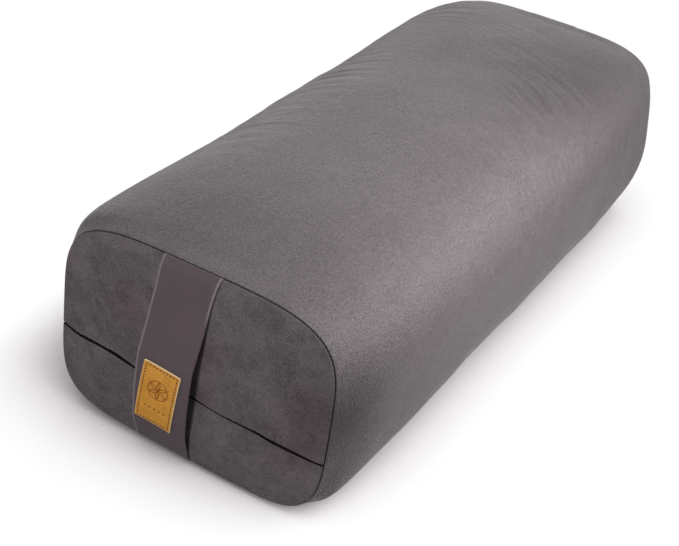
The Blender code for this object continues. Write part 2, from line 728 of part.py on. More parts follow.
def build_bolster():
    clear_scene()
    cover = make_material("cover_suede", (0.150, 0.134, 0.139), 0.85)
    handle = make_material("handle_cloth", (0.172, 0.139, 0.150), 0.75)
    leather = make_material("label_leather", (0.700, 0.340, 0.060), 0.55)
    tape = make_material("zip_tape_cloth", (0.020, 0.019, 0.020), 0.90)
    nylon = make_material("zip_teeth_nylon", (0.015, 0.015, 0.016), 0.45)
    metal = make_material("zip_metal", (0.060, 0.058, 0.060), 0.40, 1.0)
    cotton = make_material("liner_cotton", (0.620, 0.590, 0.530), 0.95)
    batting = make_material("cotton_batting", (0.780, 0.750, 0.690), 1.00)

    build_wrap(cover)
    build_panels(cover)
    build_handles(handle, leather)
    build_liner(cotton)
    build_batting(batting)

    zip_line = add_empty("zip_line", None, (0.0, -chain_depth_from_middle(), ZIP_LINE_HEIGHT), FALL)
    build_zip_chain(tape, nylon, metal, zip_line)
    for word, hand, turn in (("right", 1, 0.0), ("left", -1, math.pi)):
        place = add_empty(f"slider_place_{word}", zip_line, (slider_parked_at(hand), 0.0, 0.0), turn)
        build_slider(f"zip_slider_{word}", metal, place)
        build_pull_tab(f"zip_pull_{word}", metal, place)


build_bolster()
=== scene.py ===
"""Looks of the rectangular yoga bolster: sewn microsuede cover, carry straps, leather label and zip."""
import math
from collections import namedtuple

import bmesh
import bpy
import numpy as np
from mathutils import Matrix, Vector


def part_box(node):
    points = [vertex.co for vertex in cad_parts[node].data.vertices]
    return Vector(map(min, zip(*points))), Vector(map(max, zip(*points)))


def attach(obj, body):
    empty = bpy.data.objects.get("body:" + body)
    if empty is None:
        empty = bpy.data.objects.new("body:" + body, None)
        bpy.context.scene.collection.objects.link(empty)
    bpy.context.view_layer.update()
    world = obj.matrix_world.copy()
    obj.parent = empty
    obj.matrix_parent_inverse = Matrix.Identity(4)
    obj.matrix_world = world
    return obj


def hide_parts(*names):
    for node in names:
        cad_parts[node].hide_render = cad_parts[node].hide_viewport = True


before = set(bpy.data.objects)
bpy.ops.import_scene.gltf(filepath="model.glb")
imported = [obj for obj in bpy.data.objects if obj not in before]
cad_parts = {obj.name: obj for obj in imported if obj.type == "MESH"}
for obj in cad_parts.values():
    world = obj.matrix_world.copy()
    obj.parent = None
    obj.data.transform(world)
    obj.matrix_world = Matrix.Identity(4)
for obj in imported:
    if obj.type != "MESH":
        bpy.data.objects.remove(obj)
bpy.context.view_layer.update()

wrap_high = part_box("cover_wrap")[1]
end_low, end_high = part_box("rear_panel")
strap_low, strap_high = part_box("rear_handle")

CreaseBand = namedtuple("CreaseBand", "middle spread start full height")
HalfPanel = namedtuple("HalfPanel", "name way wave seed")
Handle = namedtuple("Handle", "name offset lean depth_at side")

MM = 0.001

# Filled body, from the frame's own boxes
SEAT_GAP = 0.3 * MM
SEAM_Y = wrap_high.y + SEAT_GAP / 2
BODY_HALF = wrap_high.x
BODY_TOP = wrap_high.z
END_HALF = end_high.x
END_TOP = end_high.z
END_BOTTOM = end_low.z
WIDEST_HEIGHT = 96.5 * MM
RESTING_SAG = 3 * MM
DRAW_IN_POWER = 8.0
TOP_SQUARENESS = (3.2, 4.1)
BOTTOM_SQUARENESS = (3.6, 4.6)
SQUARENESS_POWER = 3.0
END_CROWN = 5 * MM
CROWN_POWER = 5.0
PANEL_PUFF = 1.5 * MM
PANEL_PUFF_REACH = 20 * MM
PUFF_FADE_POWER = 4.0

# How the near end has settled, at shares of its half width: -X corner up and in, +X corner down
SETTLE_POWER = 6.0
SETTLE_LIMIT = 1.05
SETTLE_HEIGHT = 62 * MM
SETTLE_FADE_POWER = 1.3
SETTLE_SHARES = (-1.0, -0.5, 0.0, 0.5, 0.82, 1.0)
SETTLE_LIFTS = (5.0 * MM, 4.6 * MM, 3.0 * MM, 1.2 * MM, -2.5 * MM, -4.5 * MM)
SETTLE_TUCK = 2.3 * MM
SETTLE_TUCK_START = 55 * MM

# Fuller and flatter spots of the wrap: place, reach and height
BULGES = (
    ((-0.112, -0.304, 0.165), 0.030, 3.6 * MM),
    ((0.118, -0.306, 0.022), 0.032, 4.0 * MM),
    ((-0.125, 0.13, 0.165), 0.18, 2.6 * MM),
    ((0.02, 0.31, 0.188), 0.08, -3.0 * MM),
    ((-0.10, 0.275, 0.180), 0.05, 2.4 * MM),
    ((0.132, 0.316, 0.080), 0.042, 7.0 * MM),
    ((0.128, 0.255, 0.012), 0.050, -3.0 * MM),
)

# Soft lumps of the filled cloth: height, size and seed, with the limits of their sum
WRAP_LUMPS = ((0.45 * MM, 100 * MM, 3), (0.18 * MM, 36 * MM, 5))
WRAP_LUMP_LIMITS = (-1.1 * MM, 1.4 * MM)
PANEL_LUMPS = ((0.28 * MM, 42 * MM, 0), (0.12 * MM, 19 * MM, 1))
PANEL_LUMP_LIMITS = (-0.6 * MM, 0.9 * MM)
REAR_SEED = 21
PANEL_CALM_SHARES = (0.86, 0.985)
CALM_BAND = (1 * MM, 20 * MM)

# Pull lines of the wrap: how far they slant at places round the body, from the middle of its top towards +X
PULL_PLACES = (-0.20, -0.13, -0.09, -0.05, 0.03, 0.08, 0.12, 0.16)
PULL_SLANTS = (-0.40, -0.90, -0.55, -0.05, 0.60, 0.70, 0.30, 0.0)

# Sets of creases: spacing, length, seed and share of the height
FINE_CREASES = ((12 * MM, 130 * MM, 31, 1.0), (6.5 * MM, 70 * MM, 32, 0.5))
SOFT_CREASES = ((17 * MM, 150 * MM, 35, 1.0), (8 * MM, 90 * MM, 36, 0.35))
CREASE_WAVES = 18
CREASE_WIDTH = 0.5
CREASE_MEAN = 0.45

# Where the creases lie: middle and spread round the body, where along it they start and are full, and height
LEFT_CREASES = CreaseBand(-108 * MM, 32 * MM, -260 * MM, -100 * MM, 1.5 * MM)
RIGHT_CREASES = CreaseBand(118 * MM, 62 * MM, -200 * MM, 0.0, 1.15 * MM)
TOP_CREASES = CreaseBand(0.0, 200 * MM, -120 * MM, 100 * MM, 0.12 * MM)
CREASE_END = (280 * MM, 315 * MM)

# Where the creases are stronger and weaker: swing, size and seed of the patches
CREASE_PATCHES = (0.35, 90 * MM, 33)
CREASE_PATCH_MEAN = 0.65
CREASE_PATCH_LIMITS = (0.15, 1.3)

# Darker patches, partly where the nap lies flat and partly painted shade: place, reach and strength
WRAP_NAP_AND_SHADE = (
    ((0.130, -0.312, 0.098), (0.050, 0.038, 0.036), 1.0),
    ((-0.06, -0.28, 0.185), (0.10, 0.10, 0.05), 0.45),
    ((0.060, 0.20, 0.185), (0.065, 0.10, 0.05), 0.75),
)
PANEL_NAP_AND_SHADE = (
    ((0.122, -0.353, 0.115), (0.032, 0.03, 0.060), 0.85),
    ((0.06, -0.355, 0.12), (0.06, 0.03, 0.05), 0.22),
)

# Warmer spots of the near end where hands rub the pile: place (x, z), reach and strength
RUBBED = (
    ((-0.052, 0.128), 0.016, 0.8),
    ((0.018, 0.118), 0.013, 0.8),
    ((0.014, 0.080), 0.012, 0.8),
    ((0.112, 0.100), 0.022, 0.8),
    ((0.098, 0.066), 0.018, 0.8),
)
RUBBED_LIMIT = 0.9

# Cloth and seams
COVER_CLOTH = 1.5 * MM
DEEPEST_DIP = 1.2 * MM
SEAM_ALLOWANCE = 6 * MM
SEAM_FOLD = 1.25 * MM
RIM_ROLL = 0.85 * MM
SEAM_DEPTH = 0.25 * MM
UNDER_SEAM_DEPTH = 0.8 * MM
UNDER_STITCH_ROWS = 7 * MM
UNDER_STITCH_END = 14 * MM
UNDER_STITCH_LIFT = 0.12 * MM

# Rows of stitches: spacing, radius of the thread and length of a stitch
SEAM_STITCHES = (3.2 * MM, 0.32 * MM, 2.5 * MM)
LABEL_STITCHES = (3.1 * MM, 0.46 * MM, 2.2 * MM)

# Zip line in the front panel
ZIP_LINE_HEIGHT = 70.5 * MM
FALL = math.radians(3.6)
ZIP_SLIT = 1.6 * MM
ZIP_ROLL = 0.8 * MM

# Front panel's halves: way from the slit, wave of the edge (height, length and seed) and seed of the lumps
UPPER_HALF = HalfPanel("bolster_front_panel_upper", 1, (0.18 * MM, 22 * MM, 7), 11)
LOWER_HALF = HalfPanel("bolster_front_panel_lower", -1, (0.18 * MM, 22 * MM, 8), 14)

# How the slit between them wanders, and where it stays straight for a parked slider
LINE_WAVE = (0.6 * MM, 48 * MM, 9)
WAVE_END = 20 * MM
GAPE = 0.35 * MM
GAPE_PLACE = -66 * MM
GAPE_SPREAD = 34 * MM
PINCH = 0.15 * MM
PINCH_RUN = 40 * MM
PARKED_SLIDER = 88.5 * MM
PARKED_BAND = (9 * MM, 24 * MM)

# Handles
HANDLE_CLOTH = 2.4 * MM
HANDLE_END_CLOTH = 0.6 * MM
HANDLE_TAPER = 9 * MM
HANDLE_SINK = 0.8 * MM
HANDLE_REST = 0.15 * MM
HANDLE_WIDTH = strap_high.x - strap_low.x
HANDLE_LIFT = 14 * MM
HANDLE_PEAK_SHARE = 0.592
HANDLE_LIFT_POWER = 1.95
HANDLE_FLARE_SHARE = 0.035
HANDLE_FLARE_RUN = 26 * MM
FRONT_OFFSET = -9.8 * MM
FRONT_LEAN = math.tan(math.radians(3.9))

# Shares of a strap's thickness: its flat face, half its rolled edge, and its bead
FACE_SHARE = 0.86
EDGE_SHARE = 0.43
BEAD_SHARE = 0.14

# Bead pressed up along each fold, with a painted highlight on it, on the +X side only above its start, and
# ruffle of the cloth
BEAD_INSET = 0.35 * MM
BEAD_WIDTH = 0.48 * MM
BEAD_START = 126 * MM
BEAD_FULL = 156 * MM
RUFFLE = 0.12 * MM
RUFFLE_LENGTH = 9 * MM
RUFFLE_END = 20 * MM

# Leather label
LABEL_WIDTH = 33.5 * MM
LABEL_HEIGHT = 60 * MM
LABEL_MIDDLE = 68.9 * MM
LABEL_OFFSET = -1.8 * MM
LABEL_TURN = math.radians(4.8)
LABEL_LEATHER = 1.4 * MM
LABEL_STIFFNESS = 0.6
LABEL_HOLD = 4 * MM
LABEL_CORNER = 0.7 * MM
LABEL_SOFTENING = 0.3 * MM
LABEL_CURL = 0.35 * MM
LABEL_CUT_EDGE = (0.25 * MM, 0.75 * MM)
LABEL_STITCH_INSET = 2.5 * MM
LABEL_STITCH_LIFT = 0.02 * MM
GROOVE_DEPTH = 0.16 * MM
GROOVE_WIDTH = 0.55 * MM
RELIEF_DEPTH = 0.5 * MM
RELIEF_LINE = 0.52 * MM
ROSETTE_RADIUS = 9 * MM
ROSETTE_RISE = 7 * MM
PETALS = 6
DOT_RADIUS = 1.1 * MM
DOT_SPACING = 4.4 * MM
DOT_DROP = 13 * MM

# Liner and batting
INNER_EDGE = 14 * MM
RUFFLE_LUMP = 25 * MM
RUFFLE_SEED = 41

# How full the padded pieces are, from 0, slack, to 1, tight
COVER_FILL = 0.85
LINER_FILL = 0.8
BATTING_FILL = 0.7

# Resolution of the meshes; an end panel's shares run from its zip edge or middle to its rim
MERGE_GAP = 0.005 * MM
OUTLINE_POINTS = 9000
AROUND_QUARTER = 80
UNDER_COLUMN = 3 * AROUND_QUARTER
ALONG = 262
RIM_POINTS = 300
HALF_PANEL_SHARES = (0.0, 0.0025, 0.005, 0.008, 0.012, 0.02, *np.linspace(0.035, 1.0, 62))
REAR_PANEL_SHARES = (*np.linspace(0.0, 0.9, 50), *np.linspace(0.915, 1.0, 12))
REAR_POLE_SHARE = 0.003

# Colours, each pair from its darkest tone to its lightest
SUEDE_GREYS = ((0.100, 0.0845, 0.0885), (0.204, 0.176, 0.183))
RUBBED_GREYS = ((0.090, 0.058, 0.066), (0.166, 0.120, 0.132))
# Darker patches: partly flattened nap, partly painted shade
NAP_AND_SHADE_GREYS = ((0.044, 0.035, 0.038), (0.092, 0.076, 0.081))
# Painted shade down in the seams and along the zip slit
SEAM_SHADE_BLACK = (0.006, 0.005, 0.006)
SHEEN_TINT = (1.0, 0.955, 0.97)
STRAP_BROWNS = ((0.094, 0.069, 0.078), (0.141, 0.107, 0.119))
# Painted highlight along the strap's folds
STRAP_FOLD_HIGHLIGHT = (0.36, 0.32, 0.34)
LEATHER_TANS = ((0.60, 0.245, 0.027), (0.98, 0.47, 0.080))
LEATHER_PRESSED = (0.30, 0.095, 0.010)
# Cream cut edge of the leather, with a painted highlight along its bevel
LEATHER_CUT_EDGE_AND_HIGHLIGHT = (0.98, 0.76, 0.46)
THREAD_BROWNS = ((0.020, 0.014, 0.012), (0.055, 0.038, 0.030))
METAL_GREYS = ((0.045, 0.043, 0.045), (0.075, 0.072, 0.075))
TAPE_BLACKS = ((0.012, 0.011, 0.012), (0.030, 0.028, 0.030))
NYLON_BLACKS = ((0.012, 0.012, 0.013), (0.020, 0.020, 0.021))
LINER_CREAMS = ((0.50, 0.47, 0.41), (0.68, 0.65, 0.59))
BATTING_CREAMS = ((0.66, 0.63, 0.57), (0.84, 0.81, 0.75))

# Photo's camera
PHOTO_WIDTH = 679
FOCAL_PIXELS = 1405.9
AZIMUTH = math.radians(25.904)
ELEVATION = math.radians(32.407)
ROLL = math.radians(8.833)
DISTANCE = 1.3401
TARGET = Vector((-0.0377, -0.0182, 0.0096))
SENSOR_MM = 36.0

# Light: the world's even level, and each softbox's name, power, place, aim and size
AMBIENT = 0.20
SOFTBOXES = (
    ("key_softbox", 2.6, (0.42, -0.05, 0.44), (0.0, -0.08, 0.10), 0.35),
    ("fill_softbox", 8.6, (0.18, -1.5, 0.75), (0.0, -0.2, 0.1), 0.25),
    ("rim_softbox", 1.1, (0.62, 0.70, 0.46), (0.1, 0.0, 0.1), 0.4),
    ("back_softbox", 0.6, (-0.70, 0.50, 0.50), (-0.1, 0.1, 0.12), 0.5),
    ("side_softbox", 0.8, (1.0, 0.40, 0.18), (0.14, 0.12, 0.08), 0.4),
)

# Pale floor and the soft shadow that the bolster throws on it
FLOOR_DROP = 0.2 * MM
SHADOW_REACH = 0.10
SHADOW_SIDE = (0.55, -0.35, 0.75)
SHADOW_TINT = (1.0, 0.93, 0.955)
WHITE = (1.0, 1.0, 1.0)
LIT_FLOOR = (0.10, 0.095, 0.095)
BOUNCING_FLOOR = (0.25, 0.25, 0.25)


class Value:
    """An output socket of a node; sums on it add Math nodes."""

    def __init__(self, nodes, socket):
        self.nodes = nodes
        self.socket = socket

    def math(self, operation, first, second):
        return self.nodes.node("ShaderNodeMath", {0: first, 1: second}, {"operation": operation})

    def __add__(self, other):
        return self.math("ADD", self, other)

    __radd__ = __add__

    def __mul__(self, other):
        return self.math("MULTIPLY", self, other)

    __rmul__ = __mul__

    def __sub__(self, other):
        return self.math("SUBTRACT", self, other)

    def __rsub__(self, other):
        return self.math("SUBTRACT", other, self)


class Nodes:
    """A node tree under construction: a material's, the world's or the stitches'."""

    def __init__(self, tree, material=None):
        self.tree = tree
        self.material = material
        self.tree.nodes.clear()

    def node(self, kind, sockets=None, settings=None, output=0):
        """Add a node: its settings first, then the values or links of its sockets."""
        item = self.tree.nodes.new(kind)
        for name, value in (settings or {}).items():
            setattr(item, name, value)
        for name, value in (sockets or {}).items():
            if isinstance(value, Value):
                self.tree.links.new(value.socket, item.inputs[name])
            elif isinstance(value, tuple) and item.inputs[name].type == "RGBA":
                item.inputs[name].default_value = (*value, 1.0)
            else:
                item.inputs[name].default_value = value
        return Value(self, item.outputs[output]) if item.outputs else None

    def coordinates(self):
        return self.node("ShaderNodeTexCoord", output=3)

    def stretched(self, vector, scale):
        return self.node("ShaderNodeMapping", {"Vector": vector, "Scale": scale})

    def noise(self, vector, size, detail, roughness, distortion=0.0):
        """Noise of about one lump in each size; it runs from 0 to 1 about 0.5."""
        return self.node("ShaderNodeTexNoise", {
            "Vector": vector, "Scale": 1 / size, "Detail": detail, "Roughness": roughness,
            "Distortion": distortion})

    def attribute(self, name):
        """A mark that the piece carries at its points, as a number."""
        return self.node("ShaderNodeAttribute", settings={"attribute_name": name}, output=2)

    def span(self, value, low, high, to_low=0.0, to_high=1.0):
        """Move a value from one range to another, with a smooth step between."""
        sockets = {"Value": value, "From Min": low, "From Max": high, "To Min": to_low, "To Max": to_high}
        return self.node("ShaderNodeMapRange", sockets, {"interpolation_type": "SMOOTHSTEP"})

    def mixed(self, share, first, second):
        """Blend two colours; share 0 gives the first."""
        return self.node("ShaderNodeMix", {0: share, 6: first, 7: second}, {"data_type": "RGBA"}, output=2)

    def bump(self, height, distance, below=None):
        """Normals tilted by a height, over those of the bump below."""
        sockets = {"Height": height, "Strength": 1.0, "Distance": distance}
        if below is not None:
            sockets["Normal"] = below
        return self.node("ShaderNodeBump", sockets)

    def finished(self, sockets):
        """Close the material with its Principled shader."""
        shader = self.node("ShaderNodeBsdfPrincipled", sockets)
        self.node("ShaderNodeOutputMaterial", {"Surface": shader})
        return self.material


def new_finish(name):
    """Empty nodes of a new material."""
    material = bpy.data.materials.new(name)
    material.use_nodes = True
    return Nodes(material.node_tree, material)


def add_object(name, data):
    """A new object of that name, in the scene."""
    item = bpy.data.objects.new(name, data)
    bpy.context.scene.collection.objects.link(item)
    return item


def eased(value, low, high):
    """0 below low, 1 above high and a smooth step between."""
    share = np.clip((value - low) / (high - low), 0.0, 1.0)
    return share ** 2 * (3 - 2 * share)


def bell(away, reach):
    """1 at no distance, fading to almost 0 at twice the reach."""
    return np.exp(-((away / reach) ** 2))


def patched(points, patches):
    """Sum of soft patches, each of a place, a reach and a strength."""
    total = np.zeros(points.shape[:-1])
    for place, reach, strength in patches:
        total += strength * bell(np.linalg.norm((points - place) / reach, axis=-1), 1.0)
    return total


def rounded(inside, radius):
    """How far a rounded edge falls away, at these distances inside it."""
    short = np.maximum(radius - inside, 0.0)
    return radius - np.sqrt(np.maximum(radius ** 2 - short ** 2, 0.0))


def signed_power(value, power):
    return np.sign(value) * np.abs(value) ** power


def section_sizes(along, inset=0.0):
    """Half width, top and bottom of the section; along is 0 at mid-length and 1 at a seam."""
    draw = np.minimum(along, 1.0) ** DRAW_IN_POWER
    half = BODY_HALF - (BODY_HALF - END_HALF) * draw - inset
    top = BODY_TOP - (BODY_TOP - END_TOP) * draw - inset
    bottom = (END_BOTTOM + RESTING_SAG) * draw - RESTING_SAG + inset
    return half, top, bottom


def squareness(along, upper):
    """Power of the section's rounding, where upper is true and where it is false."""
    powers = [middle + (end - middle) * np.minimum(along, 1.0) ** SQUARENESS_POWER
              for middle, end in (TOP_SQUARENESS, BOTTOM_SQUARENESS)]
    return np.where(upper, *powers)


def section_curve(along, angle, inset=0.0):
    """Points (x, z) of the section outline at these angles, the underside pressed flat."""
    half, top, bottom = section_sizes(along, inset)
    upper = np.sin(angle) >= 0
    power = 2 / squareness(along, upper)
    reach = np.where(upper, top - WIDEST_HEIGHT, WIDEST_HEIGHT - bottom)
    x = half * signed_power(np.cos(angle), power)
    z = WIDEST_HEIGHT + reach * signed_power(np.sin(angle), power)
    return np.stack((x, np.maximum(z, inset)), -1)


def run_along(points):
    """Distance of each point of a polyline from its first one."""
    steps = np.linalg.norm(np.diff(points, axis=0), axis=1)
    return np.concatenate(([0.0], np.cumsum(steps)))


def even_points(points, count):
    """Points at even steps along a polyline, with its first and last kept."""
    run = run_along(points)
    wanted = np.linspace(0.0, run[-1], count)
    return np.stack([np.interp(wanted, run, points[:, k]) for k in range(points.shape[1])], -1)


def section_ring(along, inset=0.0):
    """The whole outline from the +X side over the top, evenly spaced in each quarter."""
    parts = []
    turns = eased(np.linspace(0.0, 1.0, 900), 0.0, 1.0)
    for quarter in range(4):
        curve = section_curve(along, (quarter + turns) * math.pi / 2, inset)
        parts.append(even_points(curve, AROUND_QUARTER + 1)[:-1])
    return np.concatenate(parts)


def share_from_centre(x, z):
    """0 at the centre of an end panel and 1 on its seam line."""
    half, top, bottom = section_sizes(1.0)
    upper = z >= WIDEST_HEIGHT
    power = squareness(1.0, upper)
    reach = np.where(upper, top - WIDEST_HEIGHT, WIDEST_HEIGHT - bottom)
    share = (np.abs(x) / half) ** power + (np.abs(z - WIDEST_HEIGHT) / reach) ** power
    return np.minimum(share ** (1 / power), 1.0)


def zip_line_height(x, above=0.0):
    return ZIP_LINE_HEIGHT - x * math.tan(FALL) + above / math.cos(FALL)


def crowned_depth(share):
    return SEAM_Y + SEAT_GAP / 2 + COVER_CLOTH + END_CROWN * (1 - share ** CROWN_POWER)


def front_depth(x, z):
    """Distance of the front panel's face from mid-length."""
    share = share_from_centre(x, z)
    from_zip = (z - zip_line_height(x)) * math.cos(FALL)
    puff = PANEL_PUFF * (1 - bell(from_zip, PANEL_PUFF_REACH))
    return crowned_depth(share) + puff * (1 - share ** PUFF_FADE_POWER)


def rear_depth(x, z):
    """Distance of the rear panel's face from mid-length."""
    share = share_from_centre(x, z)
    return crowned_depth(share) + PANEL_PUFF * (1 - share ** 2)


def waves(points, size, seed, count=14):
    """Smooth seeded unevenness of about one unit, with lumps of about that size."""
    draw = np.random.default_rng(seed)
    total = np.zeros(points.shape[:-1])
    for _ in range(count):
        way = draw.normal(size=points.shape[-1])
        way = way / np.linalg.norm(way) * draw.uniform(0.7, 1.4) * math.pi / size
        total += np.cos(points @ way + draw.uniform(0, 2 * math.pi))
    return total / math.sqrt(count / 2)


def summed_waves(points, sets, seed=0):
    """Sum of waves of a height, a size and a seed, counted from the seed given."""
    return sum(height * waves(points, size, seed + own) for height, size, own in sets)


def grid_faces(rows, columns, wrap_rows=False, wrap_columns=False, start=0):
    """Quads of a grid of vertices counted row by row."""
    r = np.arange(rows if wrap_rows else rows - 1)
    c = np.arange(columns if wrap_columns else columns - 1)
    r, c = np.meshgrid(r, c, indexing="ij")
    r2, c2 = (r + 1) % rows, (c + 1) % columns
    corners = [r * columns + c, r * columns + c2, r2 * columns + c2, r2 * columns + c]
    return start + np.stack([corner.ravel() for corner in corners], -1)


def settled(points):
    """Points moved as the filled body has settled: its near end sits a little twisted on the floor."""
    x, y, z = points[..., 0], points[..., 1], points[..., 2]
    near = np.clip(-y / SEAM_Y, 0.0, SETTLE_LIMIT) ** SETTLE_POWER
    low = np.clip((SETTLE_HEIGHT - z) / SETTLE_HEIGHT, 0.0, 1.0) ** SETTLE_FADE_POWER
    lift = np.interp(x / END_HALF, SETTLE_SHARES, SETTLE_LIFTS)
    tuck = SETTLE_TUCK * eased(-x, SETTLE_TUCK_START, END_HALF)
    moved = points.copy()
    moved[..., 0] += tuck * near
    moved[..., 2] = np.maximum(z + lift * low * near, 0.0)
    return moved


def mesh_piece(name, points, quads, material, marks, caps=()):
    """A named object from arrays of points and quads, doubles merged and faces turned outwards."""
    points = settled(points)
    mesh = bpy.data.meshes.new(name)
    mesh.from_pydata(points.reshape(-1, 3).tolist(), [], quads.tolist() + list(caps))
    for key, values in marks.items():
        layer = mesh.attributes.new(key, "FLOAT", "POINT")
        layer.data.foreach_set("value", np.ascontiguousarray(values, dtype=np.float32).ravel())
    edit = bmesh.new()
    edit.from_mesh(mesh)
    bmesh.ops.remove_doubles(edit, verts=edit.verts, dist=MERGE_GAP)
    bmesh.ops.recalc_face_normals(edit, faces=edit.faces)
    edit.to_mesh(mesh)
    edit.free()
    mesh.shade_smooth()
    mesh.update()
    mesh.materials.append(material)
    return add_object(name, mesh)


def tube_piece(name, rings, material, marks):
    """A closed piece through equal rings of points, with both ends capped."""
    points = np.array(rings)
    count, size = points.shape[:2]
    last = (count - 1) * size
    caps = [list(range(size)), list(range(last, last + size))]
    quads = grid_faces(count, size, wrap_columns=True)
    return mesh_piece(name, points, quads, material, marks, caps)


def sheet_piece(name, front, back, material, marks):
    """A closed piece between two equal grids of points; each of its marks holds one grid for both."""
    rows, columns = front.shape[:2]
    count = rows * columns
    quads = [grid_faces(rows, columns), grid_faces(rows, columns, start=count)]
    index = np.arange(count).reshape(rows, columns)
    edge = np.concatenate((index[0, :-1], index[:-1, -1], index[-1, :0:-1], index[:0:-1, 0]))
    after = np.roll(edge, -1)
    quads.append(np.stack((edge, after, after + count, edge + count), -1))
    points = np.concatenate((front.reshape(-1, 3), back.reshape(-1, 3)))
    doubled = {key: np.tile(grid.ravel(), 2) for key, grid in marks.items()}
    return mesh_piece(name, points, np.concatenate(quads), material, doubled)


def surface_normals(points, centre):
    """Unit normals of a grid that closes on itself along its columns, pointing away from the centre."""
    across = np.roll(points, -1, axis=1) - np.roll(points, 1, axis=1)
    normal = np.cross(np.gradient(points, axis=0), across)
    normal = normal / np.maximum(np.linalg.norm(normal, axis=-1, keepdims=True), 1e-12)
    inward = np.sum(normal * (points - centre), -1, keepdims=True) < 0
    return np.where(inward, -normal, normal)


def build_wrap(material):
    """Cover cloth round the four long sides, rolled into both seams with its allowances turned in."""
    end = SEAM_Y - SEAT_GAP / 2
    straight = np.linspace(-(end - SEAM_FOLD), end - SEAM_FOLD, ALONG)
    outer = [(y, 0.0, 0.0) for y in straight]
    roll = []
    for turn in np.radians((20, 40, 55, 70, 90)):
        roll.append((end - SEAM_FOLD * (1 - math.sin(turn)), SEAM_FOLD * (1 - math.cos(turn)),
                     1 - math.cos(turn)))
    inner_end = end - COVER_CLOTH
    tuck = [(end, SEAM_ALLOWANCE, 1.0), (inner_end, SEAM_ALLOWANCE, 1.0)]
    inner = [(y, COVER_CLOTH, 1.0) for y in np.linspace(inner_end, -inner_end, 13)]
    mirrored = [(-y, inset, mark) for y, inset, mark in (roll + tuck)[::-1]]
    profile = outer + roll + tuck + inner + mirrored
    rings = []
    for y, inset, _ in profile:
        ring = section_ring(abs(y) / SEAM_Y, inset)
        rings.append(np.stack((ring[:, 0], np.full(len(ring), y), ring[:, 1]), -1))
    points = np.array(rings)
    outside = slice(0, len(outer))
    centre = points[outside] * (0, 1, 0) + (0, 0, WIDEST_HEIGHT)
    normal = surface_normals(points[outside], centre)
    points[outside] += normal * wrap_unevenness(points[outside])[..., None]
    points[..., 2] = np.maximum(points[..., 2], 0.0)
    # The seam mark paints shade into the rolled seam edges and along the underside's closing seam
    seam = np.array([mark for _, _, mark in profile])[:, None] * np.ones(points.shape[1])
    points[outside, UNDER_COLUMN, 2] += UNDER_SEAM_DEPTH
    seam[outside, UNDER_COLUMN] = 1.0
    quads = grid_faces(points.shape[0], points.shape[1], wrap_rows=True, wrap_columns=True)
    # The nap mark paints darker patches, partly flattened nap and partly painted shade
    marks = {"seam": seam, "nap": np.minimum(patched(points, WRAP_NAP_AND_SHADE), 1.0)}
    return mesh_piece("bolster_cover_wrap", points, quads, material, marks)


def wrap_unevenness(points):
    """How far the filled cloth stands off its even form: soft lumps and fine pull lines."""
    inland = eased(SEAM_Y - np.abs(points[..., 1]), *CALM_BAND)
    resting = eased(points[..., 2], *CALM_BAND)
    lumps = np.clip(summed_waves(points, WRAP_LUMPS), *WRAP_LUMP_LIMITS)
    lumps += patched(points, BULGES)
    return np.maximum((lumps + pull_lines(points)) * inland * resting, -DEEPEST_DIP)


def pull_lines(points):
    """Height of the creases that run round the body in shallow arches, mostly over its far half."""
    ring = section_ring(0.0)
    run = run_along(np.concatenate((ring, ring[:1])))
    around = run[AROUND_QUARTER] - run[:-1]
    around = np.where(np.arange(len(ring)) > UNDER_COLUMN, run[-1] + around, around)
    around = np.broadcast_to(around, points.shape[:2])
    y = points[..., 1]
    spots = np.linspace(-0.3, 0.3, 601)
    slant = np.interp(spots, PULL_PLACES, PULL_SLANTS)
    arch = np.cumsum(slant) * (spots[1] - spots[0])
    slanted = y + np.interp(around, spots, arch)
    left = crease_band(LEFT_CREASES, around, y) * creases(slanted, around, SOFT_CREASES)
    over = eased(y, TOP_CREASES.start, TOP_CREASES.full) * (np.abs(around) < TOP_CREASES.spread)
    rest = crease_band(RIGHT_CREASES, around, y) + TOP_CREASES.height * over
    patchy = CREASE_PATCH_MEAN + summed_waves(points, (CREASE_PATCHES,))
    lifted = left + rest * creases(slanted, around, FINE_CREASES)
    return lifted * np.clip(patchy, *CREASE_PATCH_LIMITS) * (1 - eased(np.abs(y), *CREASE_END))


def crease_band(band, around, y):
    """Height of a band of creases at places round and along the body."""
    return band.height * (bell(around - band.middle, band.spread) * eased(y, band.start, band.full))


def creases(slanted, around, sets):
    """Unit creases along lines of equal slant."""
    total = np.zeros(slanted.shape)
    for size, length, seed, share in sets:
        field = np.stack((slanted, around * size / length), -1)
        lines = waves(field, size, seed, CREASE_WAVES)
        total += share * (bell(lines, CREASE_WIDTH) - CREASE_MEAN)
    return total


def half_rim(way):
    """Even points along a half panel's seam, from one zip end to the other."""
    ring = section_curve(1.0, np.linspace(0.0, 2 * math.pi, OUTLINE_POINTS) - way * math.pi / 2)
    from_zip = ring[:, 1] - zip_line_height(ring[:, 0], way * ZIP_SLIT / 2)
    return even_points(ring[way * from_zip >= 0], RIM_POINTS)


def path_normals(path):
    """Unit normals on the right of a path; where it runs round the section, they point out of it."""
    way = np.gradient(path, axis=0)
    normal = np.stack((way[:, 1], -way[:, 0]), -1)
    return normal / np.linalg.norm(normal, axis=1, keepdims=True)


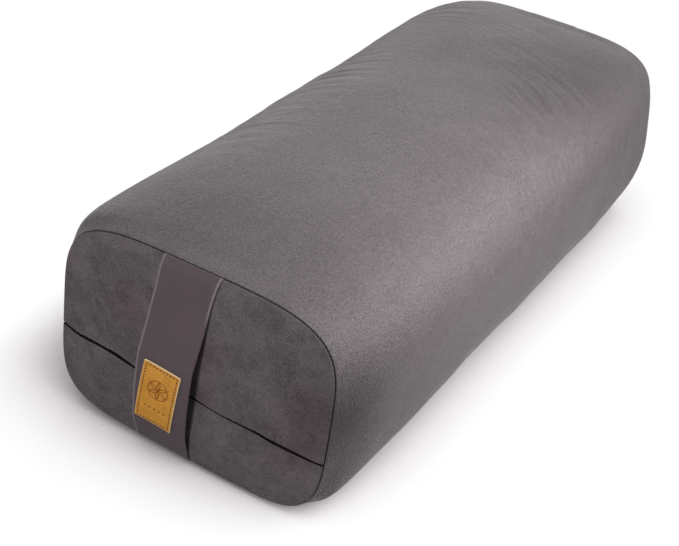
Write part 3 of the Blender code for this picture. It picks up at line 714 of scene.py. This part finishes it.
def panel_sheets(start, rim, normal, shares, depth_at, side, seed):
    """Front and back grids of an end panel, whose columns run from start to the rolled rim.

    Returns the grids and how far each point lies into the seam, 0 to 1, a mark that paints shade there.
    """
    fold = rim - normal * SEAM_FOLD
    spots = start[:, None] + (fold - start)[:, None] * np.array(shares)[None, :, None]
    x, z = spots[..., 0], spots[..., 1]
    level = np.stack((x, np.full(x.shape, side * SEAM_Y), z), -1)
    lumps = np.clip(summed_waves(level, PANEL_LUMPS, seed), *PANEL_LUMP_LIMITS)
    rim_fade = 1 - eased(share_from_centre(x, z), *PANEL_CALM_SHARES)
    depth = depth_at(x, z) + lumps * rim_fade
    face = np.stack((x, depth, z), -1)
    low = SEAM_Y + SEAM_DEPTH
    middle, half = (depth[:, -1] + low) / 2, (depth[:, -1] - low) / 2
    columns, marks = [], []
    for turn in np.radians((60, 30, 0, -30, -60, -90)):
        spot = rim - normal * (SEAM_FOLD - RIM_ROLL * math.cos(turn))
        columns.append(np.stack((spot[:, 0], middle + half * math.sin(turn), spot[:, 1]), -1))
        marks.append(max(-math.sin(turn), 0.0))
    roll = np.stack(columns, axis=1)
    front = np.concatenate((face, roll), axis=1)
    inside = face - np.array((0.0, COVER_CLOTH, 0.0))
    back = np.concatenate((inside, np.repeat(inside[:, -1:], roll.shape[1], axis=1)), axis=1)
    seam = np.concatenate((np.zeros(face.shape[:2]), np.tile(marks, (len(rim), 1))), axis=1)
    return front * (1, side, 1), back * (1, side, 1), seam


def half_panel(panel, material):
    """Half of the front panel, between its rolled zip edge and the perimeter seam."""
    rim = half_rim(panel.way)
    normal = path_normals(rim)
    fold = rim - normal * SEAM_FOLD
    zip_x = np.linspace(fold[0, 0], fold[-1, 0], len(rim))
    wave = summed_waves(zip_x[:, None], (panel.wave, LINE_WAVE))
    wave = wave * eased(END_HALF - np.abs(zip_x), 0.0, WAVE_END)
    gape = GAPE * bell(zip_x - GAPE_PLACE, GAPE_SPREAD) - PINCH * eased(zip_x, 0.0, PINCH_RUN)
    wave += panel.way * gape
    wave *= eased(np.abs(zip_x - PARKED_SLIDER), *PARKED_BAND)
    zip_z = zip_line_height(zip_x, panel.way * ZIP_SLIT / 2) + wave
    start = np.stack((zip_x, zip_z), -1)
    front, back, seam = panel_sheets(start, rim, normal, HALF_PANEL_SHARES, front_depth, -1, panel.seed)
    from_edge = np.abs(front[..., 2] - zip_z[:, None]) * math.cos(FALL)
    # Painted shade along the zip slit's rolled edges, joined to the seam's painted shade
    slit_shade = np.clip(1 - from_edge / ZIP_ROLL, 0.0, 1.0) ** 3
    marks = {"seam": np.maximum(seam, slit_shade * (seam == 0))}
    front[..., 1] += rounded(from_edge, ZIP_ROLL) * (seam == 0)
    marks["rubbed"] = np.minimum(patched(front[..., ::2], RUBBED), RUBBED_LIMIT)
    # The nap mark paints darker patches, partly flattened nap and partly painted shade
    marks["nap"] = np.minimum(patched(front, PANEL_NAP_AND_SHADE), 1.0)
    return sheet_piece(panel.name, front, back, material, marks)


def rear_panel(material):
    """Rear panel in one piece, crowned, with its rim rolled into the seam."""
    ring = section_curve(1.0, np.linspace(0, 2 * math.pi, OUTLINE_POINTS))
    rim = even_points(ring, 2 * RIM_POINTS + 1)
    normal = path_normals(rim)
    normal[0] = normal[-1] = (1.0, 0.0)
    middle = np.array((0.0, WIDEST_HEIGHT))
    start = middle + (rim - middle) * REAR_POLE_SHARE
    front, back, seam = panel_sheets(start, rim, normal, REAR_PANEL_SHARES, rear_depth, 1, REAR_SEED)
    grid = np.concatenate((back[:-1, ::-1], front[:-1]), axis=1).transpose(1, 0, 2)
    # The seam mark paints shade into the rolled rim
    marks = np.concatenate((seam[:-1, ::-1], seam[:-1]), axis=1).T
    return tube_piece("bolster_rear_panel", grid, material, {"seam": marks})


def handle_middle(handle, z):
    """Middle of a strap's width at a height."""
    return handle.offset + handle.lean * (z - WIDEST_HEIGHT)


def strap_path(handle):
    """Even points (depth, z) along a strap's back, from the bottom seam to the top one."""
    z = np.linspace(END_BOTTOM + SEAM_FOLD, END_TOP - SEAM_FOLD, 700)
    down = (END_TOP - z) / (END_TOP - END_BOTTOM)
    wave = np.maximum(np.sin(math.pi * down ** (math.log(0.5) / math.log(HANDLE_PEAK_SHARE))), 0.0)
    lift = HANDLE_LIFT * wave ** HANDLE_LIFT_POWER
    depth = handle.depth_at(handle_middle(handle, z), z) + lift
    low = SEAM_Y + SEAM_DEPTH
    turns = np.radians(np.linspace(-50, 80, 9))
    parts = []
    for edge, at, way in ((END_BOTTOM, 0, 1), (END_TOP, -1, -1)):
        middle, half = (depth[at] + low) / 2, (depth[at] - low) / 2
        inset = SEAM_FOLD + HANDLE_SINK - (RIM_ROLL + SEAT_GAP) * np.cos(turns)
        parts.append(np.stack((middle + half * np.sin(turns), edge + way * inset), -1)[::way])
    path = even_points(np.concatenate((parts[0], np.stack((depth, z), -1), parts[1])), 260)
    return label_stiffened(path) if handle.side < 0 else path


def label_stiffened(path):
    """A strap's path, bowed less where the stiff label is sewn on it."""
    reach = LABEL_HEIGHT / 2 + LABEL_HOLD
    ends = [np.interp(LABEL_MIDDLE + way * reach, path[:, 1], path[:, 0]) for way in (-1, 1)]
    place = (path[:, 1] - LABEL_MIDDLE) / reach
    chord = ends[0] + (ends[1] - ends[0]) * (place + 1) / 2
    bow = np.maximum(path[:, 0] - chord, 0.0) * (np.abs(place) < 1)
    path[:, 0] -= LABEL_STIFFNESS * bow
    return path


def strap_profile():
    """Closed outline (across, lift share, edge mark) of a folded strap with pressed, rolled edges; the edge
    mark raises a bead and paints a highlight along each fold.
    """
    half_cloth = HANDLE_CLOTH / 2
    flat = HANDLE_WIDTH / 2 - half_cloth
    spots = []
    for share in np.linspace(-1, 1, 41):
        across = flat * math.copysign(1 - (1 - abs(share)) ** 1.6, share)
        spots.append((across, FACE_SHARE, bell(flat - abs(across) - BEAD_INSET, BEAD_WIDTH)))
    edge = [(flat + half_cloth * math.cos(turn), 0.5 + EDGE_SHARE * math.sin(turn), max(math.sin(turn), 0))
            for turn in np.radians((60, 30, 0, -30, -60))]
    spots += edge
    spots += [(flat * share, 0.0, 0.0) for share in np.linspace(1, -1, 13)]
    spots += [(-across, lift_share, mark) for across, lift_share, mark in edge[::-1]]
    return spots


def strap(handle, material):
    """A carry handle: a folded strap sewn in at the top and bottom seams."""
    path = strap_path(handle)
    normal = path_normals(path)
    run = run_along(path)
    from_end = np.minimum(run, run[-1] - run)
    cloth = HANDLE_END_CLOTH + (HANDLE_CLOTH - HANDLE_END_CLOTH) * eased(from_end, 0.0, HANDLE_TAPER)
    flare = 1 + HANDLE_FLARE_SHARE * (1 - eased(run[-1] - run, 0.0, HANDLE_FLARE_RUN))
    loose = eased(from_end, 0, RUFFLE_END)
    rings, marks = [], []
    for i, (_, z) in enumerate(path):
        middle = handle_middle(handle, z)
        ring, row = [], []
        for across, lift_share, mark in strap_profile():
            lit = 1.0 if across < 0 else float(eased(z, BEAD_START, BEAD_FULL))
            ruffle = RUFFLE * math.sin(run[i] / RUFFLE_LENGTH + 2 * across / HANDLE_WIDTH)
            raised = lift_share + BEAD_SHARE * mark * lit
            lift = HANDLE_REST + cloth[i] * raised + ruffle * lift_share * loose[i]
            spot_depth, spot_z = path[i] + normal[i] * lift
            ring.append((middle + across * flare[i], handle.side * spot_depth, spot_z))
            # Painted highlight along the folds, on the +X side only above the bead's start
            row.append(mark * lit)
        rings.append(ring)
        marks.append(row)
    return tube_piece(handle.name, rings, material, {"edge": np.array(marks)})


def label_place(handle, across, up, lift):
    """Point over the strap at a place on the label, whose own axes are turned a little."""
    path = strap_path(handle)
    normal = path_normals(path)
    run = run_along(path)
    aside = LABEL_OFFSET + across * math.cos(LABEL_TURN) + up * math.sin(LABEL_TURN)
    rise = up * math.cos(LABEL_TURN) - across * math.sin(LABEL_TURN)
    place = np.interp(LABEL_MIDDLE, path[:, 1], run) + rise
    spot = [np.interp(place, run, path[:, k]) + np.interp(place, run, normal[:, k]) * lift for k in (0, 1)]
    middle = handle_middle(handle, np.interp(place, run, path[:, 1]))
    return np.stack((middle + aside, handle.side * spot[0], spot[1]), -1)


def label_relief(across, up):
    """Depth pressed by the stitches, and lines of a compass-drawn six-petal rosette over five dots."""
    edge = np.minimum(LABEL_WIDTH / 2 - np.abs(across), LABEL_HEIGHT / 2 - np.abs(up))
    pressed = GROOVE_DEPTH * bell(edge - LABEL_STITCH_INSET, GROOVE_WIDTH)
    from_middle = np.hypot(across, up - ROSETTE_RISE)
    line = bell(from_middle - ROSETTE_RADIUS, RELIEF_LINE)
    for k in range(PETALS):
        turn = (k + 0.5) * math.tau / PETALS
        away = np.hypot(across - ROSETTE_RADIUS * math.cos(turn),
                        up - ROSETTE_RISE - ROSETTE_RADIUS * math.sin(turn))
        arc = bell(away - ROSETTE_RADIUS, RELIEF_LINE)
        line = np.maximum(line, arc * (from_middle < ROSETTE_RADIUS))
    for k in range(-2, 3):
        dot = np.hypot(across - k * DOT_SPACING, up + DOT_DROP) / DOT_RADIUS
        line = np.maximum(line, np.exp(-(dot ** 4)))
    return pressed, line


def build_label(handle, material):
    """Leather patch on the front strap, with softened corners, pale cut edges with a painted highlight, and
    pressed relief.
    """
    up = np.linspace(-0.5, 0.5, 200) * LABEL_HEIGHT
    half = LABEL_WIDTH / 2 - rounded(LABEL_HEIGHT / 2 - np.abs(up), LABEL_CORNER)
    across = half[:, None] * np.linspace(-1, 1, 116)
    up = np.broadcast_to(up[:, None], across.shape)
    edge = np.minimum(half[:, None] - np.abs(across), LABEL_HEIGHT / 2 - np.abs(up))
    pressed, line = label_relief(across, up)
    base = HANDLE_CLOTH + SEAT_GAP
    curl = LABEL_CURL * (np.abs(across) / (LABEL_WIDTH / 2)) ** 4
    lift = base + LABEL_LEATHER - rounded(edge, LABEL_SOFTENING) - pressed - RELIEF_DEPTH * line + curl
    front = label_place(handle, across, up, lift)
    back = label_place(handle, across, up, base + curl)
    # The cut mark paints the pale cut edge and a highlight along its bevel
    marks = {"cut": 1 - eased(edge, *LABEL_CUT_EDGE), "pressed": line}
    return sheet_piece("bolster_label", front, back, material, marks)


def stitch_tree(name):
    """Node tree that lays short stitches along a curve."""
    tree = bpy.data.node_groups.new(name, "GeometryNodeTree")
    add = Nodes(tree).node
    given = {}
    for label, kind in (("Path", "Geometry"), ("Spacing", "Float"), ("Thread", "Float"), ("Length", "Float"),
                        ("Material", "Material")):
        tree.interface.new_socket(label, in_out="INPUT", socket_type="NodeSocket" + kind)
        given[label] = add("NodeGroupInput", output=label)
    tree.interface.new_socket("Stitches", in_out="OUTPUT", socket_type="NodeSocketGeometry")
    spaced = add("GeometryNodeResampleCurve", {"Curve": given["Path"], "Length": given["Spacing"]},
                 {"mode": "LENGTH"})
    ball = add("GeometryNodeMeshUVSphere", {"Segments": 8, "Rings": 6, "Radius": 1.0})
    size = add("ShaderNodeCombineXYZ", {"X": given["Thread"], "Y": given["Thread"], "Z": given["Length"]})
    shaped = add("GeometryNodeTransform", {"Geometry": ball, "Scale": size})
    way = add("GeometryNodeInputTangent")
    turned = add("FunctionNodeAlignRotationToVector", {"Vector": way}, {"axis": "Z"})
    laid = add("GeometryNodeInstanceOnPoints", {"Points": spaced, "Instance": shaped, "Rotation": turned})
    real = add("GeometryNodeRealizeInstances", {"Geometry": laid})
    smooth = add("GeometryNodeSetShadeSmooth", {"Geometry": real})
    dyed = add("GeometryNodeSetMaterial", {"Geometry": smooth, "Material": given["Material"]})
    add("NodeGroupOutput", {"Stitches": dyed})
    return tree


def stitches(name, tree, points, spacing, thread, length, material):
    """Stitches along a closed path, as a plain mesh."""
    points = settled(points)
    data = bpy.data.curves.new(name + "_path", "CURVE")
    data.dimensions = "3D"
    line = data.splines.new("POLY")
    line.points.add(len(points) - 1)
    line.points.foreach_set("co", np.c_[points, np.ones(len(points))].ravel())
    line.use_cyclic_u = True
    path = add_object(name + "_path", data)
    modifier = path.modifiers.new("stitches", "NODES")
    modifier.node_group = tree
    closed = run_along(np.concatenate((points, points[:1])))[-1]
    values = {"Spacing": closed / round(closed / spacing), "Thread": thread, "Length": length / 2,
              "Material": material}
    for item in tree.interface.items_tree:
        if item.in_out == "INPUT" and item.name in values:
            modifier[item.identifier] = values[item.name]
    graph = bpy.context.evaluated_depsgraph_get()
    mesh = bpy.data.meshes.new_from_object(path.evaluated_get(graph), depsgraph=graph)
    mesh.name = name
    bpy.data.objects.remove(path, do_unlink=True)
    return add_object(name, mesh)


def stitched_box(wide, tall, count):
    """Even points (across, up) round a rectangle of these half sizes, from its low -X corner."""
    corners = np.array([(-wide, -tall), (wide, -tall), (wide, tall), (-wide, tall), (-wide, -tall)])
    return even_points(corners, count)[:-1]


def label_stitch_path(handle):
    """The stitch line just inside the label's edges, on top of the leather."""
    wide, tall = LABEL_WIDTH / 2 - LABEL_STITCH_INSET, LABEL_HEIGHT / 2 - LABEL_STITCH_INSET
    spots = stitched_box(wide, tall, 240)
    lift = HANDLE_CLOTH + SEAT_GAP + LABEL_LEATHER + LABEL_STITCH_LIFT
    return label_place(handle, spots[:, 0], spots[:, 1], lift)


def seam_path(side):
    """The line of the perimeter stitching, down in the seam of one end."""
    rim = section_ring(1.0)
    spots = rim - path_normals(rim) * (SEAM_FOLD - SEAM_DEPTH)
    return np.stack((spots[:, 0], np.full(len(spots), side * SEAM_Y), spots[:, 1]), -1)


def under_seam_path():
    """Two rows of topstitching beside the wrap's closing seam, along the middle of the underside."""
    spots = stitched_box(UNDER_STITCH_ROWS / 2, SEAM_Y - UNDER_STITCH_END, 1201)
    return np.c_[spots, np.full(len(spots), UNDER_STITCH_LIFT)]


def suede(name, clouds, grain, roughness, shine, sheen):
    """Warm charcoal microsuede: brushed clouds, fine speckle and a soft sheen, with painted shade in the
    seams and darker patches that are partly painted shade.
    """
    f = new_finish(name)
    where = f.coordinates()
    cloud = f.noise(where, 34 * MM, 4.0, 0.62, 0.6)
    brushed = f.noise(f.stretched(where, (1.0, 0.35, 1.0)), 9 * MM, 3.0, 0.6, 0.3)
    speckle = f.noise(where, 1.7 * MM, 2.0, 0.7)
    pile = f.noise(where, 0.9 * MM, 1.0, 0.5)
    tone = 0.5 + (cloud - 0.5) * clouds + (brushed - 0.5) * (0.5 * clouds)
    tone = tone + (speckle - 0.5) * grain + (pile - 0.5) * (0.8 * grain)
    colour = f.mixed(f.attribute("rubbed"), f.mixed(tone, *SUEDE_GREYS), f.mixed(tone, *RUBBED_GREYS))
    # Darker patches, partly flattened nap and partly painted shade
    colour = f.mixed(f.attribute("nap"), colour, f.mixed(tone, *NAP_AND_SHADE_GREYS))
    # Painted shade in the seam grooves and the zip slit
    colour = f.mixed(f.span(f.attribute("seam"), 0.08, 0.32), colour, SEAM_SHADE_BLACK)
    relief = f.bump(speckle * 0.6 + pile * 0.4, 1.3 * MM, f.bump(brushed, 0.6 * MM))
    return f.finished({
        "Base Color": colour, "Roughness": roughness, "Sheen Weight": sheen, "Sheen Roughness": 0.2,
        "Sheen Tint": SHEEN_TINT, "Specular IOR Level": shine, "Normal": relief})


def strap_cloth():
    """Smoother, slightly purple brown strap with a painted highlight along its pressed folds."""
    f = new_finish("strap_cloth")
    where = f.coordinates()
    nap = f.noise(where, 1.1 * MM, 2.0, 0.6)
    cloud = f.noise(where, 22 * MM, 2.0, 0.5)
    tone = 0.5 + (nap - 0.5) * 0.35 + (cloud - 0.5) * 0.35
    # Painted highlight along the folds
    edge = f.span(f.attribute("edge"), 0.35, 1.0, 0.0, 0.75)
    return f.finished({
        "Base Color": f.mixed(edge, f.mixed(tone, *STRAP_BROWNS), STRAP_FOLD_HIGHLIGHT), "Roughness": 0.72,
        "Sheen Weight": 0.22, "Sheen Roughness": 0.4, "Specular IOR Level": 0.3,
        "Normal": f.bump(nap, 0.15 * MM)})


def label_leather():
    """Mustard tan leather with fine grain, darker pressed lines and cream cut edges that carry a painted
    highlight.
    """
    f = new_finish("label_leather")
    where = f.coordinates()
    grain = f.node("ShaderNodeTexVoronoi", {"Vector": where, "Scale": 1 / (0.9 * MM)}, {"feature": "F1"})
    fleck = f.noise(where, 1.2 * MM, 2.0, 0.7)
    tone = f.noise(where, 9 * MM, 4.0, 0.6) + (fleck - 0.5) * 1.2
    colour = f.mixed(f.attribute("pressed"), f.mixed(tone, *LEATHER_TANS), LEATHER_PRESSED)
    # Pale cut edges, partly the leather's own edge and partly a painted highlight
    return f.finished({
        "Base Color": f.mixed(f.attribute("cut"), colour, LEATHER_CUT_EDGE_AND_HIGHLIGHT), "Roughness": 0.46,
        "Specular IOR Level": 0.45, "Normal": f.bump(grain, 0.10 * MM)})


def plain_finish(name, tones, size, roughness, metallic=0.0, relief=0.1 * MM):
    """Finely mottled colour over a slight relief, with mottles of that size."""
    f = new_finish(name)
    grain = f.noise(f.coordinates(), size, 3.0, 0.6)
    return f.finished({
        "Base Color": f.mixed(grain, *tones), "Roughness": roughness, "Metallic": metallic,
        "Normal": f.bump(grain, relief)})


def woven(name, tones, size, roughness):
    """Plain weave of two crossing sets of threads, on planes that face any way."""
    f = new_finish(name)
    where = f.coordinates()
    bands = []
    for direction in ("X", "Y", "Z"):
        sockets = {"Vector": where, "Scale": 1 / size / math.tau, "Distortion": 0.4, "Detail": 1.0,
                   "Detail Scale": 2.0}
        bands.append(f.node("ShaderNodeTexWave", sockets, {"bands_direction": direction}, output=1))
    weave = bands[0] * bands[1] + bands[1] * bands[2] + bands[0] * bands[2]
    tone = weave * 0.25 + f.noise(where, 2 * MM, 3.0, 0.6) * 0.5
    return f.finished({"Base Color": f.mixed(tone, *tones), "Roughness": roughness,
                       "Normal": f.bump(weave, 0.12 * MM)})


def inner_piece(node, material, cuts, ruffle):
    """A filling or liner solid from the frame, settled as the cover is and softened between its faces."""
    edit = bmesh.new()
    edit.from_mesh(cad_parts[node].data)
    bmesh.ops.remove_doubles(edit, verts=edit.verts, dist=2 * MERGE_GAP)
    long_edges = [edge for edge in edit.edges if edge.calc_length() > INNER_EDGE]
    bmesh.ops.subdivide_edges(edit, edges=long_edges, cuts=cuts)
    bmesh.ops.triangulate(edit, faces=edit.faces)
    edit.normal_update()
    places = np.array([vertex.co for vertex in edit.verts])
    normals = np.array([vertex.normal for vertex in edit.verts])
    sink = ruffle * (0.5 + 0.5 * np.clip(waves(places, RUFFLE_LUMP, RUFFLE_SEED), -1, 1))
    places = settled(places - normals * sink[:, None])
    for vertex, place in zip(edit.verts, places):
        vertex.co = place
    name = "bolster_" + node
    mesh = bpy.data.meshes.new(name)
    edit.to_mesh(mesh)
    edit.free()
    mesh.shade_smooth()
    mesh.set_sharp_from_angle(angle=math.radians(50))
    mesh.materials.append(material)
    return add_object(name, mesh)


def add_camera():
    """The photo's viewpoint, rolled as the photo is."""
    back = Vector((math.sin(AZIMUTH) * math.cos(ELEVATION), -math.cos(AZIMUTH) * math.cos(ELEVATION),
                   math.sin(ELEVATION)))
    right = Vector((math.cos(AZIMUTH), math.sin(AZIMUTH), 0.0))
    up = back.cross(right)
    right_rolled = right * math.cos(ROLL) + up * math.sin(ROLL)
    up_rolled = up * math.cos(ROLL) - right * math.sin(ROLL)
    data = bpy.data.cameras.new("photo_camera")
    data.lens = FOCAL_PIXELS / PHOTO_WIDTH * SENSOR_MM
    data.sensor_width = SENSOR_MM
    data.sensor_fit = "HORIZONTAL"
    data.clip_end = 50.0
    camera = add_object("photo_camera", data)
    turn = Matrix((right_rolled, up_rolled, back)).transposed().to_4x4()
    camera.matrix_world = Matrix.Translation(TARGET + back * DISTANCE) @ turn
    bpy.context.scene.camera = camera


def add_softbox(name, power, place, aim, size):
    """A round lamp that faces its aim."""
    data = bpy.data.lights.new(name, "AREA")
    data.shape = "DISK"
    data.size = size
    data.energy = power
    lamp = add_object(name, data)
    lamp.location = place
    lamp.rotation_euler = (Vector(aim) - Vector(place)).to_track_quat("-Z", "Y").to_euler()


def add_stage():
    """Pale floor that shows white to the camera and keeps the bolster's soft shadow."""
    f = new_finish("pale_floor")
    seen = f.node("ShaderNodeLightPath", output=0)
    facing = f.node("ShaderNodeCombineXYZ", dict(zip("XYZ", SHADOW_SIDE)))
    openness = f.node("ShaderNodeAmbientOcclusion", {"Distance": SHADOW_REACH, "Normal": facing},
                      {"samples": 12}, output=1)
    tint = f.mixed(f.span(openness, 0.5, 1.0), SHADOW_TINT, WHITE)
    level = f.span(openness, 0.30, 1.0, 0.05, 0.97)
    bright = f.node("ShaderNodeEmission", {"Color": tint, "Strength": level})
    faint = f.node("ShaderNodeBsdfDiffuse", {"Color": LIT_FLOOR})
    shown = f.node("ShaderNodeAddShader", {0: bright, 1: faint})
    bounce = f.node("ShaderNodeBsdfDiffuse", {"Color": BOUNCING_FLOOR})
    both = f.node("ShaderNodeMixShader", {0: seen, 1: bounce, 2: shown})
    f.node("ShaderNodeOutputMaterial", {"Surface": both})
    edit = bmesh.new()
    bmesh.ops.create_grid(edit, x_segments=8, y_segments=8, size=6.0)
    mesh = bpy.data.meshes.new("floor")
    edit.to_mesh(mesh)
    edit.free()
    mesh.transform(Matrix.Translation((0.0, 0.0, -FLOOR_DROP)))
    mesh.materials.append(f.material)
    add_object("floor", mesh)


def add_world():
    """Even studio light that camera, mirror and glass rays see as white."""
    world = bpy.data.worlds.new("studio")
    world.use_nodes = True
    bpy.context.scene.world = world
    f = Nodes(world.node_tree)
    rays = [f.node("ShaderNodeLightPath", output=kind) for kind in
            ("Is Camera Ray", "Is Glossy Ray", "Is Transmission Ray")]
    shown = rays[0].math("MAXIMUM", rays[0].math("MAXIMUM", rays[0], rays[1]), rays[2])
    level = f.node("ShaderNodeMapRange", {"Value": shown, "To Min": AMBIENT, "To Max": 1.0})
    light = f.node("ShaderNodeBackground", {"Color": WHITE, "Strength": level})
    f.node("ShaderNodeOutputWorld", {"Surface": light})


bpy.context.scene.view_settings.view_transform = "Standard"
add_camera()
add_world()
add_stage()
for softbox in SOFTBOXES:
    add_softbox(*softbox)

cover_finish = suede("charcoal_microsuede", clouds=0.60, grain=2.7, roughness=0.50, shine=0.29, sheen=0.45)
panel_finish = suede("charcoal_microsuede_end", clouds=1.7, grain=1.8, roughness=0.82, shine=0.17, sheen=0.2)
strap_finish = strap_cloth()
leather_finish = label_leather()
thread_finish = plain_finish("dark_thread", THREAD_BROWNS, size=0.5 * MM, roughness=0.7)
metal_finish = plain_finish("zip_painted_metal", METAL_GREYS, size=2.5 * MM, roughness=0.4, metallic=1.0)
tape_finish = woven("zip_tape_weave", TAPE_BLACKS, size=0.5 * MM, roughness=0.9)
teeth_finish = plain_finish("zip_nylon", NYLON_BLACKS, size=2 * MM, roughness=0.45)
liner_finish = woven("liner_cotton", LINER_CREAMS, size=0.8 * MM, roughness=0.95)
batting_finish = plain_finish("cotton_batting", BATTING_CREAMS, size=8 * MM, roughness=1.0, relief=1.2 * MM)

# Zip's pieces are metal, apart from its tapes and teeth
soft_finishes = {"tape": tape_finish, "teeth": teeth_finish}
for name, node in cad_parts.items():
    if name.startswith("zip_"):
        node.data.materials.clear()
        node.data.materials.append(soft_finishes.get(name.split("_")[1], metal_finish))

front_handle = Handle("bolster_front_handle", FRONT_OFFSET, FRONT_LEAN, front_depth, -1)
rear_handle = Handle("bolster_rear_handle", 0.0, 0.0, rear_depth, 1)
sewing = stitch_tree("stitch_line")

# Every dressed piece, with the node it replaces, its slot and its fill
pieces = [
    (build_wrap(cover_finish), "cover_wrap", "cover_suede", COVER_FILL),
    (half_panel(UPPER_HALF, panel_finish), "front_panel_upper", "cover_suede", COVER_FILL),
    (half_panel(LOWER_HALF, panel_finish), "front_panel_lower", "cover_suede", COVER_FILL),
    (rear_panel(panel_finish), "rear_panel", "cover_suede", COVER_FILL),
    (strap(front_handle, strap_finish), "front_handle", "handle_cloth", None),
    (strap(rear_handle, strap_finish), "rear_handle", "handle_cloth", None),
    (build_label(front_handle, leather_finish), "label_patch", "label_leather", None),
]
stitched = (
    ("bolster_label_stitches", label_stitch_path(front_handle), LABEL_STITCHES, "handle_cloth"),
    ("bolster_front_seam_thread", seam_path(-1), SEAM_STITCHES, "cover_suede"),
    ("bolster_rear_seam_thread", seam_path(1), SEAM_STITCHES, "cover_suede"),
    ("bolster_underside_seam_thread", under_seam_path(), SEAM_STITCHES, "cover_suede"),
)
for name, path, sizes, slot in stitched:
    pieces.append((stitches(name, sewing, path, *sizes, thread_finish), None, slot, None))
for node in ("liner_sleeve", "liner_front_end", "liner_rear_end"):
    liner = inner_piece(node, liner_finish, cuts=1, ruffle=0.0)
    pieces.append((liner, node, "liner_cotton", LINER_FILL))
for layer in range(1, 7):
    node = f"batting_layer_{layer}"
    batting = inner_piece(node, batting_finish, cuts=2, ruffle=0.6 * MM)
    pieces.append((batting, node, "cotton_batting", BATTING_FILL))
for piece, node, slot, fill in pieces:
    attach(piece, "bolster")
    if node is not None:
        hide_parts(node)
